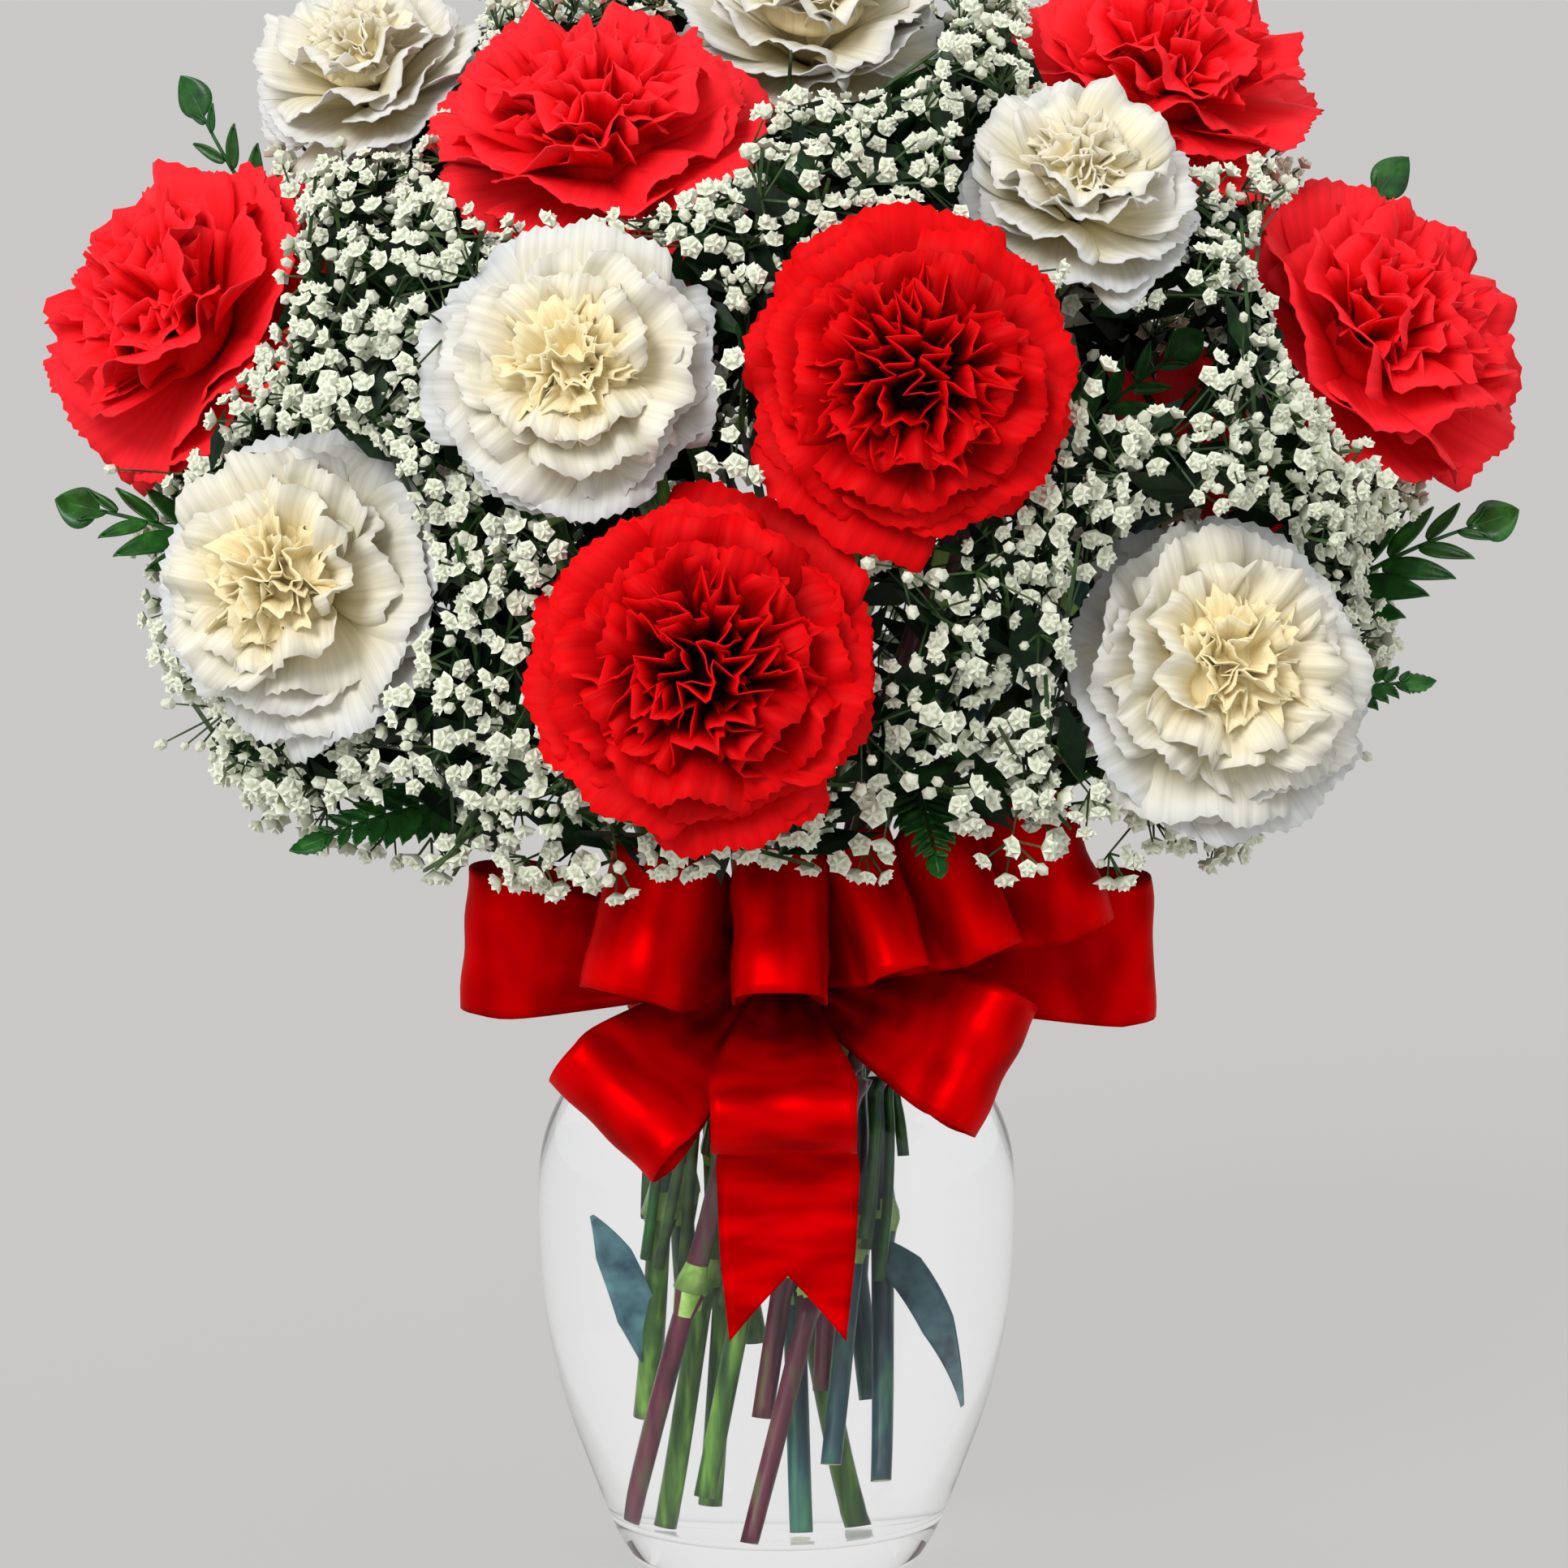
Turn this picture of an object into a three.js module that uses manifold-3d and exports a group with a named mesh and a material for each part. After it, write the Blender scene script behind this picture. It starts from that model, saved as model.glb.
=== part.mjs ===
// Carnations in a vase: sixteen red and white carnations with baby's breath and leatherleaf fern in a
// clear glass urn vase of water, with a red ribbon bow tied round its neck.
// Millimetres, +Z up. The origin is the centre of the vase's underside, and the bow faces -Y.

import * as THREE from "three";
import { mergeVertices } from "three/addons/utils/BufferGeometryUtils.js";
import Module from "manifold-3d";

const wasm = await Module();
wasm.setup();

// The glass vase
const VASE_SIDES = 30;
const FOOT_RADIUS = 40;
const BELLY_RADIUS = 64.5;
const BELLY_HEIGHT = 98;
const NECK_RADIUS = 38;
const NECK_HEIGHT = 150;
const RIM_RADIUS = 44;
const RIM_HEIGHT = 168;
const GLASS = 3.2;
const FLOOR_HEIGHT = 12;

// Radius and height of the vase's outside, from the foot to the rim
const VASE_PROFILE = [
  [FOOT_RADIUS, 0],
  [44.5, 9],
  [50.8, 25],
  [58.4, 47],
  [63, 70],
  [BELLY_RADIUS, BELLY_HEIGHT],
  [62.6, 116],
  [55.5, 130],
  [43.5, 141],
  [NECK_RADIUS, NECK_HEIGHT],
  [39.4, 160],
  [RIM_RADIUS, RIM_HEIGHT],
];

// Water stands up to the start of the neck
const WATER_HEIGHT = 138;
const SEAT_GAP = 0.35;

// Stems run straight from their cut ends to the vase's neck, then fan out to the blooms
const GATHER_HEIGHT = 150;
const GATHER_RADIUS = 29;
const FOOT_SPREAD = 1.22;
const FOOT_TWIST = THREE.MathUtils.degToRad(-66);
const FAN_RATIO = 1.2;
const STEM_RADIUS = 2.4;
const NODE_RADIUS = 3.7;
const TWIG_STEM_RADIUS = 1.4;
const STEM_CLEARANCE = 0.9;
const BEND_STEPS = 4;
const BEND_LEAVE = 0.3; // how far a stem runs on straight past the neck, as a share of what is left
const BEND_ARRIVE = 0.34; // and how far it runs straight up to its bloom

// Carnations: name, colour, centre of the bloom, its radius, where it faces, as degrees from -Y towards +X
// and degrees above the horizon, and how high above the vase's floor its stem was cut
const BLOOMS = [
  ["red_low_front", "red", [-17, -160, 261], 43, -3, 14, 0],
  ["red_mid_front", "red", [33, -146, 329], 41, 4, 16, 12],
  ["white_mid_front", "white", [-48, -134, 330], 36.5, -8, 18, 0],
  ["white_low_left", "white", [-120, -100, 275], 39, -24, 16, 30],
  ["white_low_right", "white", [110, -105, 254], 41, 20, 16, 0],
  ["red_left", "red", [-157, -22, 337], 44, -50, 28, 54],
  ["red_upper_left", "red", [-45, -70, 387], 42, -10, 58, 8],
  ["red_upper_right", "red", [102, -12, 401], 40, 30, 50, 40],
  ["red_right", "red", [158, -22, 333], 44, 46, 32, 22],
  ["white_upper_left", "white", [-106, -18, 401], 31, -20, 55, 66],
  ["white_top", "white", [9, -5, 414], 37, 5, 60, 0],
  ["white_upper_right", "white", [75, -92, 374], 31, 12, 48, 34],
  ["white_back_left", "white", [-118, 62, 318], 39, -120, 28, 48],
  ["red_back_left", "red", [-42, 118, 345], 38, -160, 34, 0],
  ["white_back_right", "white", [58, 116, 338], 39, 154, 32, 36],
  ["red_back_right", "red", [124, 58, 290], 38, 115, 22, 16],
];
const CALYX_LENGTH = 27;
const CALYX_RADIUS = 6.2;
const MOUTH_DROP = 0.34; // how far the calyx mouth lies behind the bloom's centre, in bloom radii

// A stem swells at one joint under water. Stems cut high up are short, so theirs lies lower along them.
const HIGH_CUT = 30;
const JOINT_SPOTS = [0.44, 0.49, 0.54];
const JOINT_SPOTS_HIGH_CUT = [0.3, 0.37, 0.44];

// Leaves left on stems under water: the carnation, how far up its straight stem, the leaf's tip, its width
const WATER_LEAVES = [
  { carnation: "red_back_right", at: 0.49, tip: [44, -16, 47], width: 9 },
  { carnation: "white_low_left", at: 0.14, tip: [-40, -8, 96], width: 9 },
];
const LEAF_SECTIONS = [0.3, 1, 0.86, 0.16]; // the leaf's width from its root to its tip, in leaf widths
const LEAF_THICKNESS = 0.9;

// The packed heart of a bloom, in bloom radii: radius and height of its rings, and their turn in half
// sectors. Petals grow from the bands that start at the rings named in PETAL_LAYERS.
const PETALS_ROUND = 6;
const HEART_RINGS = [
  [0.13, 0, 0],
  [0.24, 0.17, 0],
  [0.27, 0.25, 0],
  [0.3, 0.4, 1],
  [0.3, 0.48, 1],
  [0.25, 0.6, 0],
  [0.21, 0.67, 0],
];
const HEART_DIP = 0.6;

// Room that a bloom takes behind and in front of its centre, in bloom radii
const DEPTH_BEHIND = 0.36;
const DEPTH_IN_FRONT = 0.62;

// Petal layers, in bloom radii: first ring, reach, edge height, its rise and fall from one petal to the
// next, ruffle, width in degrees, teeth along the edge
const PETAL_THICKNESS = 0.8;
const PETAL_LAYERS = [
  { ring: 1, reach: 1.0, rise: 0.3, step: 0.12, ruffle: 0.06, span: 58, teeth: 4 },
  { ring: 3, reach: 0.76, rise: 0.72, step: 0.05, ruffle: 0.06, span: 58, teeth: 3 },
  { ring: 5, reach: 0.42, rise: 0.95, step: 0.05, ruffle: 0.05, span: 56, teeth: 2 },
];

// Baby's breath: where each spray's twigs branch, and the shell on which its florets lie
const SPRAYS = [
  [-92, -62, 300],
  [-6, -92, 306],
  [90, -70, 300],
  [-60, -92, 230],
  [50, -80, 238],
  [122, -14, 268],
  [-112, -26, 240],
  [-48, -8, 352],
  [50, -16, 350],
  [2, -56, 372],
  [-62, 66, 262],
  [64, 68, 260],
  [30, 62, 336],
];
const SHELL_CENTRE = new THREE.Vector3(0, -8, 288);
const SHELL = new THREE.Vector3(170, 154, 148);
const SHELL_FLOOR = 196;
const SHELL_DEPTHS = [1, 0.92, 0.97];
const FLORET_POINTS = 800;
const FLORET_RADIUS = 9.5;
const FLORET_DEPTH = 6;
const FLORET_CROWN = 1.8;
const TWIG_RADIUS = 0.9;
const TWIG_REACH = 92;
const LEADER_LENGTH = 40;
const LEADER_RADIUS = 1.7;
const LEADER_STEPS = 6;
const THIN_CUT = [60, 96]; // how high above the vase's floor the thin stems were cut

// Clear room kept round florets and twigs
const FLORET_ROOM = 0.5;
const TWIG_ROOM = 0.8;
const TWIG_GAP = 1.2; // between two twigs
const LEADER_GAP = 5; // between a twig and another spray's leader
const FLORET_SPACING = 1.75; // between the centres of two florets, in floret radii
const FREE_SHARE = 0.25; // how much of a twig may lie close to its neighbours at its root
const FLORET_SHARE = 0.85; // from where along a twig its floret's room counts
const FROND_SHARE = 0.6; // share of that room kept from a frond
const LEAST_OUTWARD = 0.28; // least cosine between a twig and the face of the leader that it grows from
const LEAST_FORWARD = -0.3; // least cosine between a twig and its leader
const OUTWARD_BONUS = 0.5; // how far a face that looks towards the floret is preferred
const TOUCHING = 1e-4; // twigs that share no more volume than this only touch

// Fern fronds: tip, where the blade starts, width, and the way its upper face looks
const FRONDS = [
  { tip: [-186, -20, 288], base: [-132, -8, 266], width: 34, up: [-0.2, -0.8, 0.8] },
  { tip: [-156, 12, 396], base: [-122, 14, 344], width: 26, up: [-0.5, -0.9, 0.1] },
  { tip: [-121, -74, 205], base: [-70, -50, 214], width: 28, up: [0, -0.8, 0.8] },
  { tip: [193, -10, 284], base: [140, 2, 256], width: 34, up: [0.2, -0.8, 0.8] },
  { tip: [168, 36, 374], base: [122, 34, 324], width: 28, up: [0.4, -0.9, 0.2] },
  { tip: [170, -30, 242], base: [124, -22, 232], width: 28, up: [0, -0.8, 0.8] },
  { tip: [40, -128, 207], base: [34, -86, 224], width: 24, up: [0, -0.6, 0.8] },
  { tip: [106, -64, 334], base: [72, -38, 304], width: 24, up: [0.2, -1, 0.3] },
  { tip: [-132, 108, 238], base: [-78, 66, 214], width: 34, up: [0, 0.6, 1] },
  { tip: [132, 108, 236], base: [78, 66, 214], width: 34, up: [0, 0.6, 1] },
  { tip: [0, 156, 222], base: [0, 92, 212], width: 36, up: [0, 0.6, 1] },
];
const PINNAE = 4;
const FROND_THICKNESS = 0.8;
const RIB_WIDTH = 2.4;
const FROND_ARCH = 8; // how far a blade reaches on either side of its own plane
const ARCH_SHARE = 0.09; // how high its rib arches, as a share of its length
const DROOP_SHARE = 0.5; // how far its edges hang, as a share of the square of half its width over its width
const BLADE_TIP = 1.08; // how far its tip reaches, as a share of its length

// The ribbon bow: each loop's outer end, the direction of the ribbon's width there, and the loop's width
const RIBBON_WIDTH = 37;
const RIBBON_THICKNESS = 0.8;
const KNOT = new THREE.Vector3(1, -58, 172);
const KNOT_SIZE = [13, 9, 15];
const KNOT_ROOT = [3, 4]; // radii of the twist from the neck to the knot
const TIE_SIDES = 14;
const TIE_TOP = 160;
const TIE_HEIGHT = 9;
const TIE_THICKNESS = 1.2;
const LOOPS = [
  { end: [-81, -46, 178], width: [0, 0, 1], bulge: 28 },
  { end: [-40, -100, 191], width: [0.05, 0, 1], bulge: 30 },
  { end: [1, -108, 192], width: [0, 0, 1], bulge: 25 },
  { end: [29, -104, 197], width: [-0.1, 0, 1], bulge: 17 },
  { end: [53, -96, 201], width: [-0.15, 0, 1], bulge: 19 },
  { end: [79, -80, 205], width: [-0.2, 0, 1], bulge: 23 },
  { end: [98, -50, 176], width: [0.4, 0, 0.92], bulge: 24 },
  { end: [-44, -95, 137], width: [0.93, 0, -0.37], bulge: 22 },
  { end: [2, -96, 132], width: [1, 0, 0], bulge: 22 },
  { end: [58, -88, 150], width: [0.75, 0, 0.66], bulge: 22 },
];

// One half of a loop, from the knot to its outer end: how far out, as a share of the loop's reach less a
// share of half its bulge; how far from its middle, as a share of half its bulge; the ribbon's width there
const LOOP_ROOT = { sunk: 0.6, aside: 1.4, width: 0.3 };
const LOOP_SECTIONS = [
  { out: 0.42, less: 0, aside: 0.52, width: 0.62 },
  { out: 1, less: 1.3, aside: 0.9, width: 1 },
  { out: 1, less: 0.6, aside: 0.96, width: 1 },
  { out: 1, less: 0.12, aside: 0.5, width: 1 },
];

// The tail: points down its middle and half its width there
const TAIL = [
  { centre: [1, -62, 160], half: 6 },
  { centre: [2, -67, 145], half: 15 },
  { centre: [3, -73, 122], half: 18.5 },
  { centre: [3, -76, 100], half: 17.5 },
  { centre: [3, -78, 77], half: 15 },
];
const TAIL_NOTCH = 17;

// Solids and meshes

function toSolid(geometry) {
  const bare = new THREE.BufferGeometry();
  const loose = geometry.index ? geometry.toNonIndexed() : geometry;
  bare.setAttribute("position", loose.getAttribute("position"));
  const merged = mergeVertices(bare, 1e-4);
  return new wasm.Manifold(
    new wasm.Mesh({
      numProp: 3,
      vertProperties: merged.attributes.position.array,
      triVerts: new Uint32Array(merged.index.array),
    }),
  );
}

function toGeometry(solid) {
  const mesh = solid.getMesh();
  const geometry = new THREE.BufferGeometry();
  geometry.setAttribute("position", new THREE.BufferAttribute(mesh.vertProperties, 3));
  geometry.setIndex(new THREE.BufferAttribute(mesh.triVerts, 1));
  return geometry;
}

function fromFaces(points, index) {
  const geometry = new THREE.BufferGeometry();
  geometry.setAttribute("position", new THREE.Float32BufferAttribute(points.flatMap((p) => p.toArray()), 3));
  geometry.setIndex(index);
  return geometry;
}

// A solid with its faces pointing out, whichever way round the faces were listed
function closedBody(points, index) {
  const solid = toSolid(fromFaces(points, index));
  if (solid.volume() > 0) return solid;
  const flipped = index.map((_, i) => index[i - (i % 3) + [0, 2, 1][i % 3]]);
  return toSolid(fromFaces(points, flipped));
}

function join(solids) {
  return solids.reduce((whole, next) => whole.add(next));
}

// The largest body of a solid; loose scraps are dropped
function largest(solid) {
  return solid.decompose().reduce((a, b) => (a.volume() >= b.volume() ? a : b));
}

// A body is grown from rings of points, joined by bands of faces
function newBody() {
  return { points: [], faces: [] };
}

function addPoints(body, points) {
  return points.map((p) => body.points.push(p) - 1);
}

// Triangles from one corner of a polygon to all the others
function addPolygon(body, corners, hub = 0) {
  corners.forEach((corner, k) => {
    const next = (k + 1) % corners.length;
    if (k !== hub && next !== hub) body.faces.push(corners[hub], corner, corners[next]);
  });
}

// A band of four-cornered faces between two rings; grow(k, corners) may build on a face instead
function addBand(body, low, high, grow = () => false) {
  low.forEach((corner, k) => {
    const next = (k + 1) % low.length;
    const corners = [corner, low[next], high[next], high[k]];
    if (!grow(k, corners)) addPolygon(body, corners);
  });
}

function addTip(body, ring, point) {
  const [tip] = addPoints(body, [point]);
  ring.forEach((corner, k) => body.faces.push(corner, ring[(k + 1) % ring.length], tip));
}

function addTube(body, rings, capEnd = true) {
  const indices = rings.map((ring) => addPoints(body, ring));
  addPolygon(body, [...indices[0]].reverse());
  indices.slice(1).forEach((ring, i) => addBand(body, indices[i], ring));
  if (capEnd) addPolygon(body, indices.at(-1));
  return indices.at(-1);
}

function loft(rings) {
  const body = newBody();
  addTube(body, rings);
  return closedBody(body.points, body.faces);
}

// A thin sheet grown from the four corners of a face (low left, low right, high right, high left) to an
// edge given from left to right. Both sides share one layout of triangles, fanned from one edge point.
function addSheet(body, [a, b, c, d], edge, normal, thickness, triangulate = fanFromMiddle) {
  const lifted = (height) => edge.map((p) => p.clone().addScaledVector(normal, height));
  const [top, under] = [thickness / 2, -thickness / 2].map((height) => addPoints(body, lifted(height)));
  triangulate(edge.length + 2).forEach(([i, j, k]) => {
    const high = [d, ...top, c];
    const low = [a, ...under, b];
    body.faces.push(high[i], high[j], high[k], low[i], low[k], low[j]);
  });
  addPolygon(body, [a, under[0], top[0], d]);
  addPolygon(body, [b, c, top.at(-1), under.at(-1)]);
  for (let i = 0; i < edge.length - 1; i++) addPolygon(body, [under[i], under[i + 1], top[i + 1], top[i]]);
}

function fanFromMiddle(count) {
  const hub = Math.floor(count / 2);
  const triangles = [];
  for (let k = 0; k < count; k++) {
    const next = (k + 1) % count;
    if (k !== hub && next !== hub) triangles.push([hub, k, next]);
  }
  return triangles;
}

// Two directions square to a third
function crossAxes(direction) {
  const helper = Math.abs(direction.z) < 0.9 ? new THREE.Vector3(0, 0, 1) : new THREE.Vector3(1, 0, 0);
  const side = new THREE.Vector3().crossVectors(helper, direction).normalize();
  return [side, new THREE.Vector3().crossVectors(direction, side)];
}

// Rings of a round bar through points. Their first corners keep one side of the bar: endSide at the last
// ring where it is given, else a side of the first.
function tubeRings(points, radii, sides, endSide) {
  const stations = points.map((point, i) => {
    const before = points[Math.max(i - 1, 0)];
    const along = points[Math.min(i + 1, points.length - 1)].clone().sub(before).normalize();
    return { point, along, radius: radii[i] };
  });
  if (endSide) stations.reverse();
  let side = endSide ?? crossAxes(stations[0].along)[0];
  const rings = stations.map(({ point, along, radius }) => {
    side = side.clone().addScaledVector(along, -side.dot(along)).normalize();
    const other = new THREE.Vector3().crossVectors(along, side);
    return Array.from({ length: sides }, (_, k) => {
      const turn = (2 * Math.PI * (k + 0.5)) / sides;
      return point
        .clone()
        .addScaledVector(side, radius * Math.cos(turn))
        .addScaledVector(other, radius * Math.sin(turn));
    });
  });
  return endSide ? rings.reverse() : rings;
}

function tube(points, radii, sides) {
  return loft(tubeRings(points, radii, sides));
}

// The same random draws on every run
function randomSource(seed) {
  let state = seed;
  return () => {
    state = (state * 48271) % 2147483647;
    return state / 2147483647;
  };
}

// A direction from degrees turned from -Y towards +X and degrees above the horizon
function facing(turn, rise) {
  const [a, e] = [THREE.MathUtils.degToRad(turn), THREE.MathUtils.degToRad(rise)];
  return new THREE.Vector3(Math.sin(a) * Math.cos(e), -Math.cos(a) * Math.cos(e), Math.sin(e));
}

function vector(list) {
  return new THREE.Vector3(...list);
}

function middleOf(points) {
  return points.reduce((sum, p) => sum.add(p), new THREE.Vector3()).divideScalar(points.length);
}

function lathe(profile, sides) {
  const points = profile.map(([r, z]) => new THREE.Vector2(r, z));
  return toSolid(new THREE.LatheGeometry(points, sides).rotateX(Math.PI / 2));
}

// The vase and its water

const OUTSIDE = new THREE.SplineCurve(VASE_PROFILE.map(([r, z]) => new THREE.Vector2(r, z)));
const OUTSIDE_HEIGHTS = [0, 9, 30, 58, 90, 114, 130, 141, NECK_HEIGHT, 160, RIM_HEIGHT];
const INSIDE_HEIGHTS = [FLOOR_HEIGHT, 36, 66, 96, 118, 132, 142, NECK_HEIGHT, RIM_HEIGHT];

function outsideRadius(height) {
  let [low, high] = [0, 1];
  for (let i = 0; i < 40; i++) {
    const middle = (low + high) / 2;
    if (OUTSIDE.getPoint(middle).y < height) low = middle;
    else high = middle;
  }
  return OUTSIDE.getPoint(low).x;
}

function insideRadius(height) {
  return outsideRadius(height) - GLASS;
}

function buildVase() {
  const outside = OUTSIDE_HEIGHTS.map((z) => [outsideRadius(z), z]);
  const inside = INSIDE_HEIGHTS.map((z) => [insideRadius(z), z]).reverse();
  return lathe([[0, 0], ...outside, ...inside, [0, FLOOR_HEIGHT]], VASE_SIDES);
}

// The water follows the glass, with the same flats and the same steps in height
function buildWater(holes) {
  const under = INSIDE_HEIGHTS.filter((z) => z < WATER_HEIGHT);
  const above = INSIDE_HEIGHTS.find((z) => z > WATER_HEIGHT);
  const share = (WATER_HEIGHT - under.at(-1)) / (above - under.at(-1));
  const top = THREE.MathUtils.lerp(insideRadius(under.at(-1)), insideRadius(above), share);
  const wall = under.map((z, i) => [insideRadius(z) - 1.3 * SEAT_GAP, i ? z : z + SEAT_GAP]);
  const low = FLOOR_HEIGHT + SEAT_GAP;
  const profile = [[0, low], ...wall, [top - 1.3 * SEAT_GAP, WATER_HEIGHT], [0, WATER_HEIGHT]];
  return largest(holes.reduce((water, hole) => water.subtract(hole), lathe(profile, VASE_SIDES)));
}

// Carnations

function bloomFrame([, , centre, radius, turn, rise]) {
  const face = facing(turn, rise);
  const middle = vector(centre);
  const mouth = middle.clone().addScaledVector(face, -MOUTH_DROP * radius);
  return { face, middle, mouth, radius, base: mouth.clone().addScaledVector(face, -CALYX_LENGTH) };
}

// A ruffled, toothed petal edge, from left to right
function petalEdge(layer, angle, lift, random) {
  const span = THREE.MathUtils.degToRad(layer.span);
  return Array.from({ length: layer.teeth + 1 }, (_, k) => {
    const along = k / layer.teeth - 0.5;
    const wave = k % 2 ? 1 : -1;
    const reach = layer.reach * (1 - 0.36 * along * along + 0.03 * wave - 0.06 * random());
    const turn = angle + along * span;
    return new THREE.Vector3(
      reach * Math.cos(turn),
      reach * Math.sin(turn),
      layer.rise + lift + layer.ruffle * wave,
    );
  });
}

function buildBloom(frame, seed) {
  const random = randomSource(seed);
  const body = newBody();
  const sector = (2 * Math.PI) / PETALS_ROUND;
  const rings = HEART_RINGS.map(([r, z, turn]) =>
    addPoints(
      body,
      Array.from({ length: PETALS_ROUND }, (_, k) => {
        const angle = sector * (k + turn / 2);
        return new THREE.Vector3(r * Math.cos(angle), r * Math.sin(angle), z);
      }),
    ),
  );
  addPolygon(body, [...rings[0]].reverse());
  rings.slice(1).forEach((ring, i) => {
    const layer = PETAL_LAYERS.find((one) => one.ring === i);
    addBand(body, rings[i], ring, (k, corners) => {
      if (!layer) return false;
      const angle = sector * (k + 0.5 + HEART_RINGS[i][2] / 2);
      const edge = petalEdge(layer, angle, k % 2 ? layer.step : -layer.step, random);
      const slope = Math.atan2(layer.rise - HEART_RINGS[i][1], layer.reach - HEART_RINGS[i][0]);
      const inward = new THREE.Vector3(-Math.cos(angle), -Math.sin(angle), 0).multiplyScalar(Math.sin(slope));
      const normal = inward.setZ(Math.cos(slope));
      addSheet(body, corners, edge, normal, PETAL_THICKNESS / frame.radius);
      return true;
    });
  });
  addTip(body, rings.at(-1), new THREE.Vector3(0, 0, HEART_DIP));
  const turn = new THREE.Quaternion().setFromUnitVectors(new THREE.Vector3(0, 0, 1), frame.face);
  const seat = frame.mouth.clone().addScaledVector(frame.face, SEAT_GAP);
  const place = new THREE.Matrix4().compose(seat, turn, new THREE.Vector3().setScalar(frame.radius));
  return closedBody(body.points, body.faces).transform(place.elements);
}

// Where each stem passes the vase's neck: in the order of the blooms around and above it, then pushed
// apart until no two stems touch
function gatherSlots(heads, radii) {
  const slots = heads.map((p) => {
    const reach = Math.min(1, Math.hypot(p.x, p.y) / (FAN_RATIO * (p.z - GATHER_HEIGHT)));
    return new THREE.Vector2(p.x, p.y).setLength(GATHER_RADIUS * reach ** 0.7);
  });
  for (let round = 0; round < 400; round++) {
    slots.forEach((a, i) =>
      slots.slice(i + 1).forEach((b, k) => {
        const apart = b.clone().sub(a);
        const short = radii[i] + radii[i + 1 + k] + 2 * STEM_CLEARANCE - apart.length();
        if (short <= 0) return;
        apart.setLength(short / 2);
        a.sub(apart);
        b.add(apart);
      }),
    );
    slots.forEach((a) => a.clampLength(0, GATHER_RADIUS));
  }
  return slots;
}

// A stem's line: straight from its cut end to the neck, then bent to reach its head square on
function stemPath(slot, cut, end, heading) {
  const top = new THREE.Vector3(slot.x, slot.y, GATHER_HEIGHT);
  const foot = slot.clone().rotateAround(new THREE.Vector2(), FOOT_TWIST).multiplyScalar(FOOT_SPREAD);
  const floor = new THREE.Vector3(foot.x, foot.y, FLOOR_HEIGHT + 2.5 * SEAT_GAP);
  const bottom = floor.clone().lerp(top, cut / (top.z - floor.z));
  const along = top.clone().sub(bottom).normalize();
  const length = top.distanceTo(end);
  const bend = new THREE.CubicBezierCurve3(
    top,
    top.clone().addScaledVector(along, BEND_LEAVE * length),
    end.clone().addScaledVector(heading, -BEND_ARRIVE * length),
    end,
  );
  return { bottom, top, along, bent: bend.getSpacedPoints(BEND_STEPS), cut };
}

function buildStem(path, frame) {
  const joint = path.cut > HIGH_CUT ? JOINT_SPOTS_HIGH_CUT : JOINT_SPOTS;
  const straight = [0, ...joint].map((s) => path.bottom.clone().lerp(path.top, s));
  const out = (d) => frame.base.clone().addScaledVector(frame.face, d * CALYX_LENGTH);
  const points = [...straight, ...path.bent, out(0.35), out(1)];
  const radii = points.map(() => STEM_RADIUS);
  radii[2] = NODE_RADIUS;
  radii.splice(-2, 2, 0.9 * CALYX_RADIUS, CALYX_RADIUS);
  return tube(points, radii, 5);
}

// A strap leaf facing the front, through sections of four corners; margin makes the slot that it stands in
function waterLeaf(path, { at, tip, width }, margin) {
  const root = path.bottom.clone().lerp(path.top, at);
  const along = vector(tip).sub(root);
  const side = new THREE.Vector3().crossVectors(along, new THREE.Vector3(0, 1, 0)).normalize();
  const normal = new THREE.Vector3().crossVectors(side, along).normalize();
  const last = LEAF_SECTIONS.length - 1;
  const rings = LEAF_SECTIONS.map((share, i) => {
    const beyond = i === last ? margin / along.length() : 0;
    const centre = root.clone().addScaledVector(along, i / last + beyond);
    const [w, t] = [(share * width) / 2 + margin, LEAF_THICKNESS / 2 + margin];
    return [
      [-w, -t],
      [w, -t],
      [w, t],
      [-w, t],
    ].map(([u, v]) => centre.clone().addScaledVector(side, u).addScaledVector(normal, v));
  });
  return loft(rings);
}

// The plain hole that a stem stands in
function waterHole(path, radius, sides) {
  const low = path.cut > 0 ? -SEAT_GAP : -4;
  const ends = [path.bottom.clone().addScaledVector(path.along, low), path.top.clone()];
  return tube(ends, [radius, radius], sides);
}

// Baby's breath

function shellPoints() {
  const golden = Math.PI * (3 - Math.sqrt(5));
  return Array.from({ length: FLORET_POINTS }, (_, i) => {
    const height = 1 - (2 * (i + 0.5)) / FLORET_POINTS;
    const flat = Math.sqrt(1 - height * height);
    const way = new THREE.Vector3(flat * Math.cos(golden * i), flat * Math.sin(golden * i), height);
    return way.multiply(SHELL).multiplyScalar(SHELL_DEPTHS[i % SHELL_DEPTHS.length]).add(SHELL_CENTRE);
  }).filter((p) => p.z > SHELL_FLOOR);
}

function distanceToSegment(p, a, b) {
  return new THREE.Line3(a, b).closestPointToPoint(p, true, new THREE.Vector3()).distanceTo(p);
}

// The gap between two segments, from steps along the first
function segmentsApart(a, b, c, d) {
  const steps = Array.from({ length: 15 }, (_, i) => a.clone().lerp(b, i / 14));
  return Math.min(...steps.map((p) => distanceToSegment(p, c, d)));
}

function clearOfBloom(p, frame, room) {
  const from = p.clone().sub(frame.middle);
  const along = from.dot(frame.face);
  const across = Math.sqrt(Math.max(0, from.lengthSq() - along * along));
  const deep = (along < 0 ? DEPTH_BEHIND : DEPTH_IN_FRONT) * frame.radius;
  if (distanceToSegment(p, frame.base, frame.mouth) < CALYX_RADIUS + room) return false;
  return Math.hypot(across / (frame.radius + room), along / (deep + room)) > 1;
}

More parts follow.
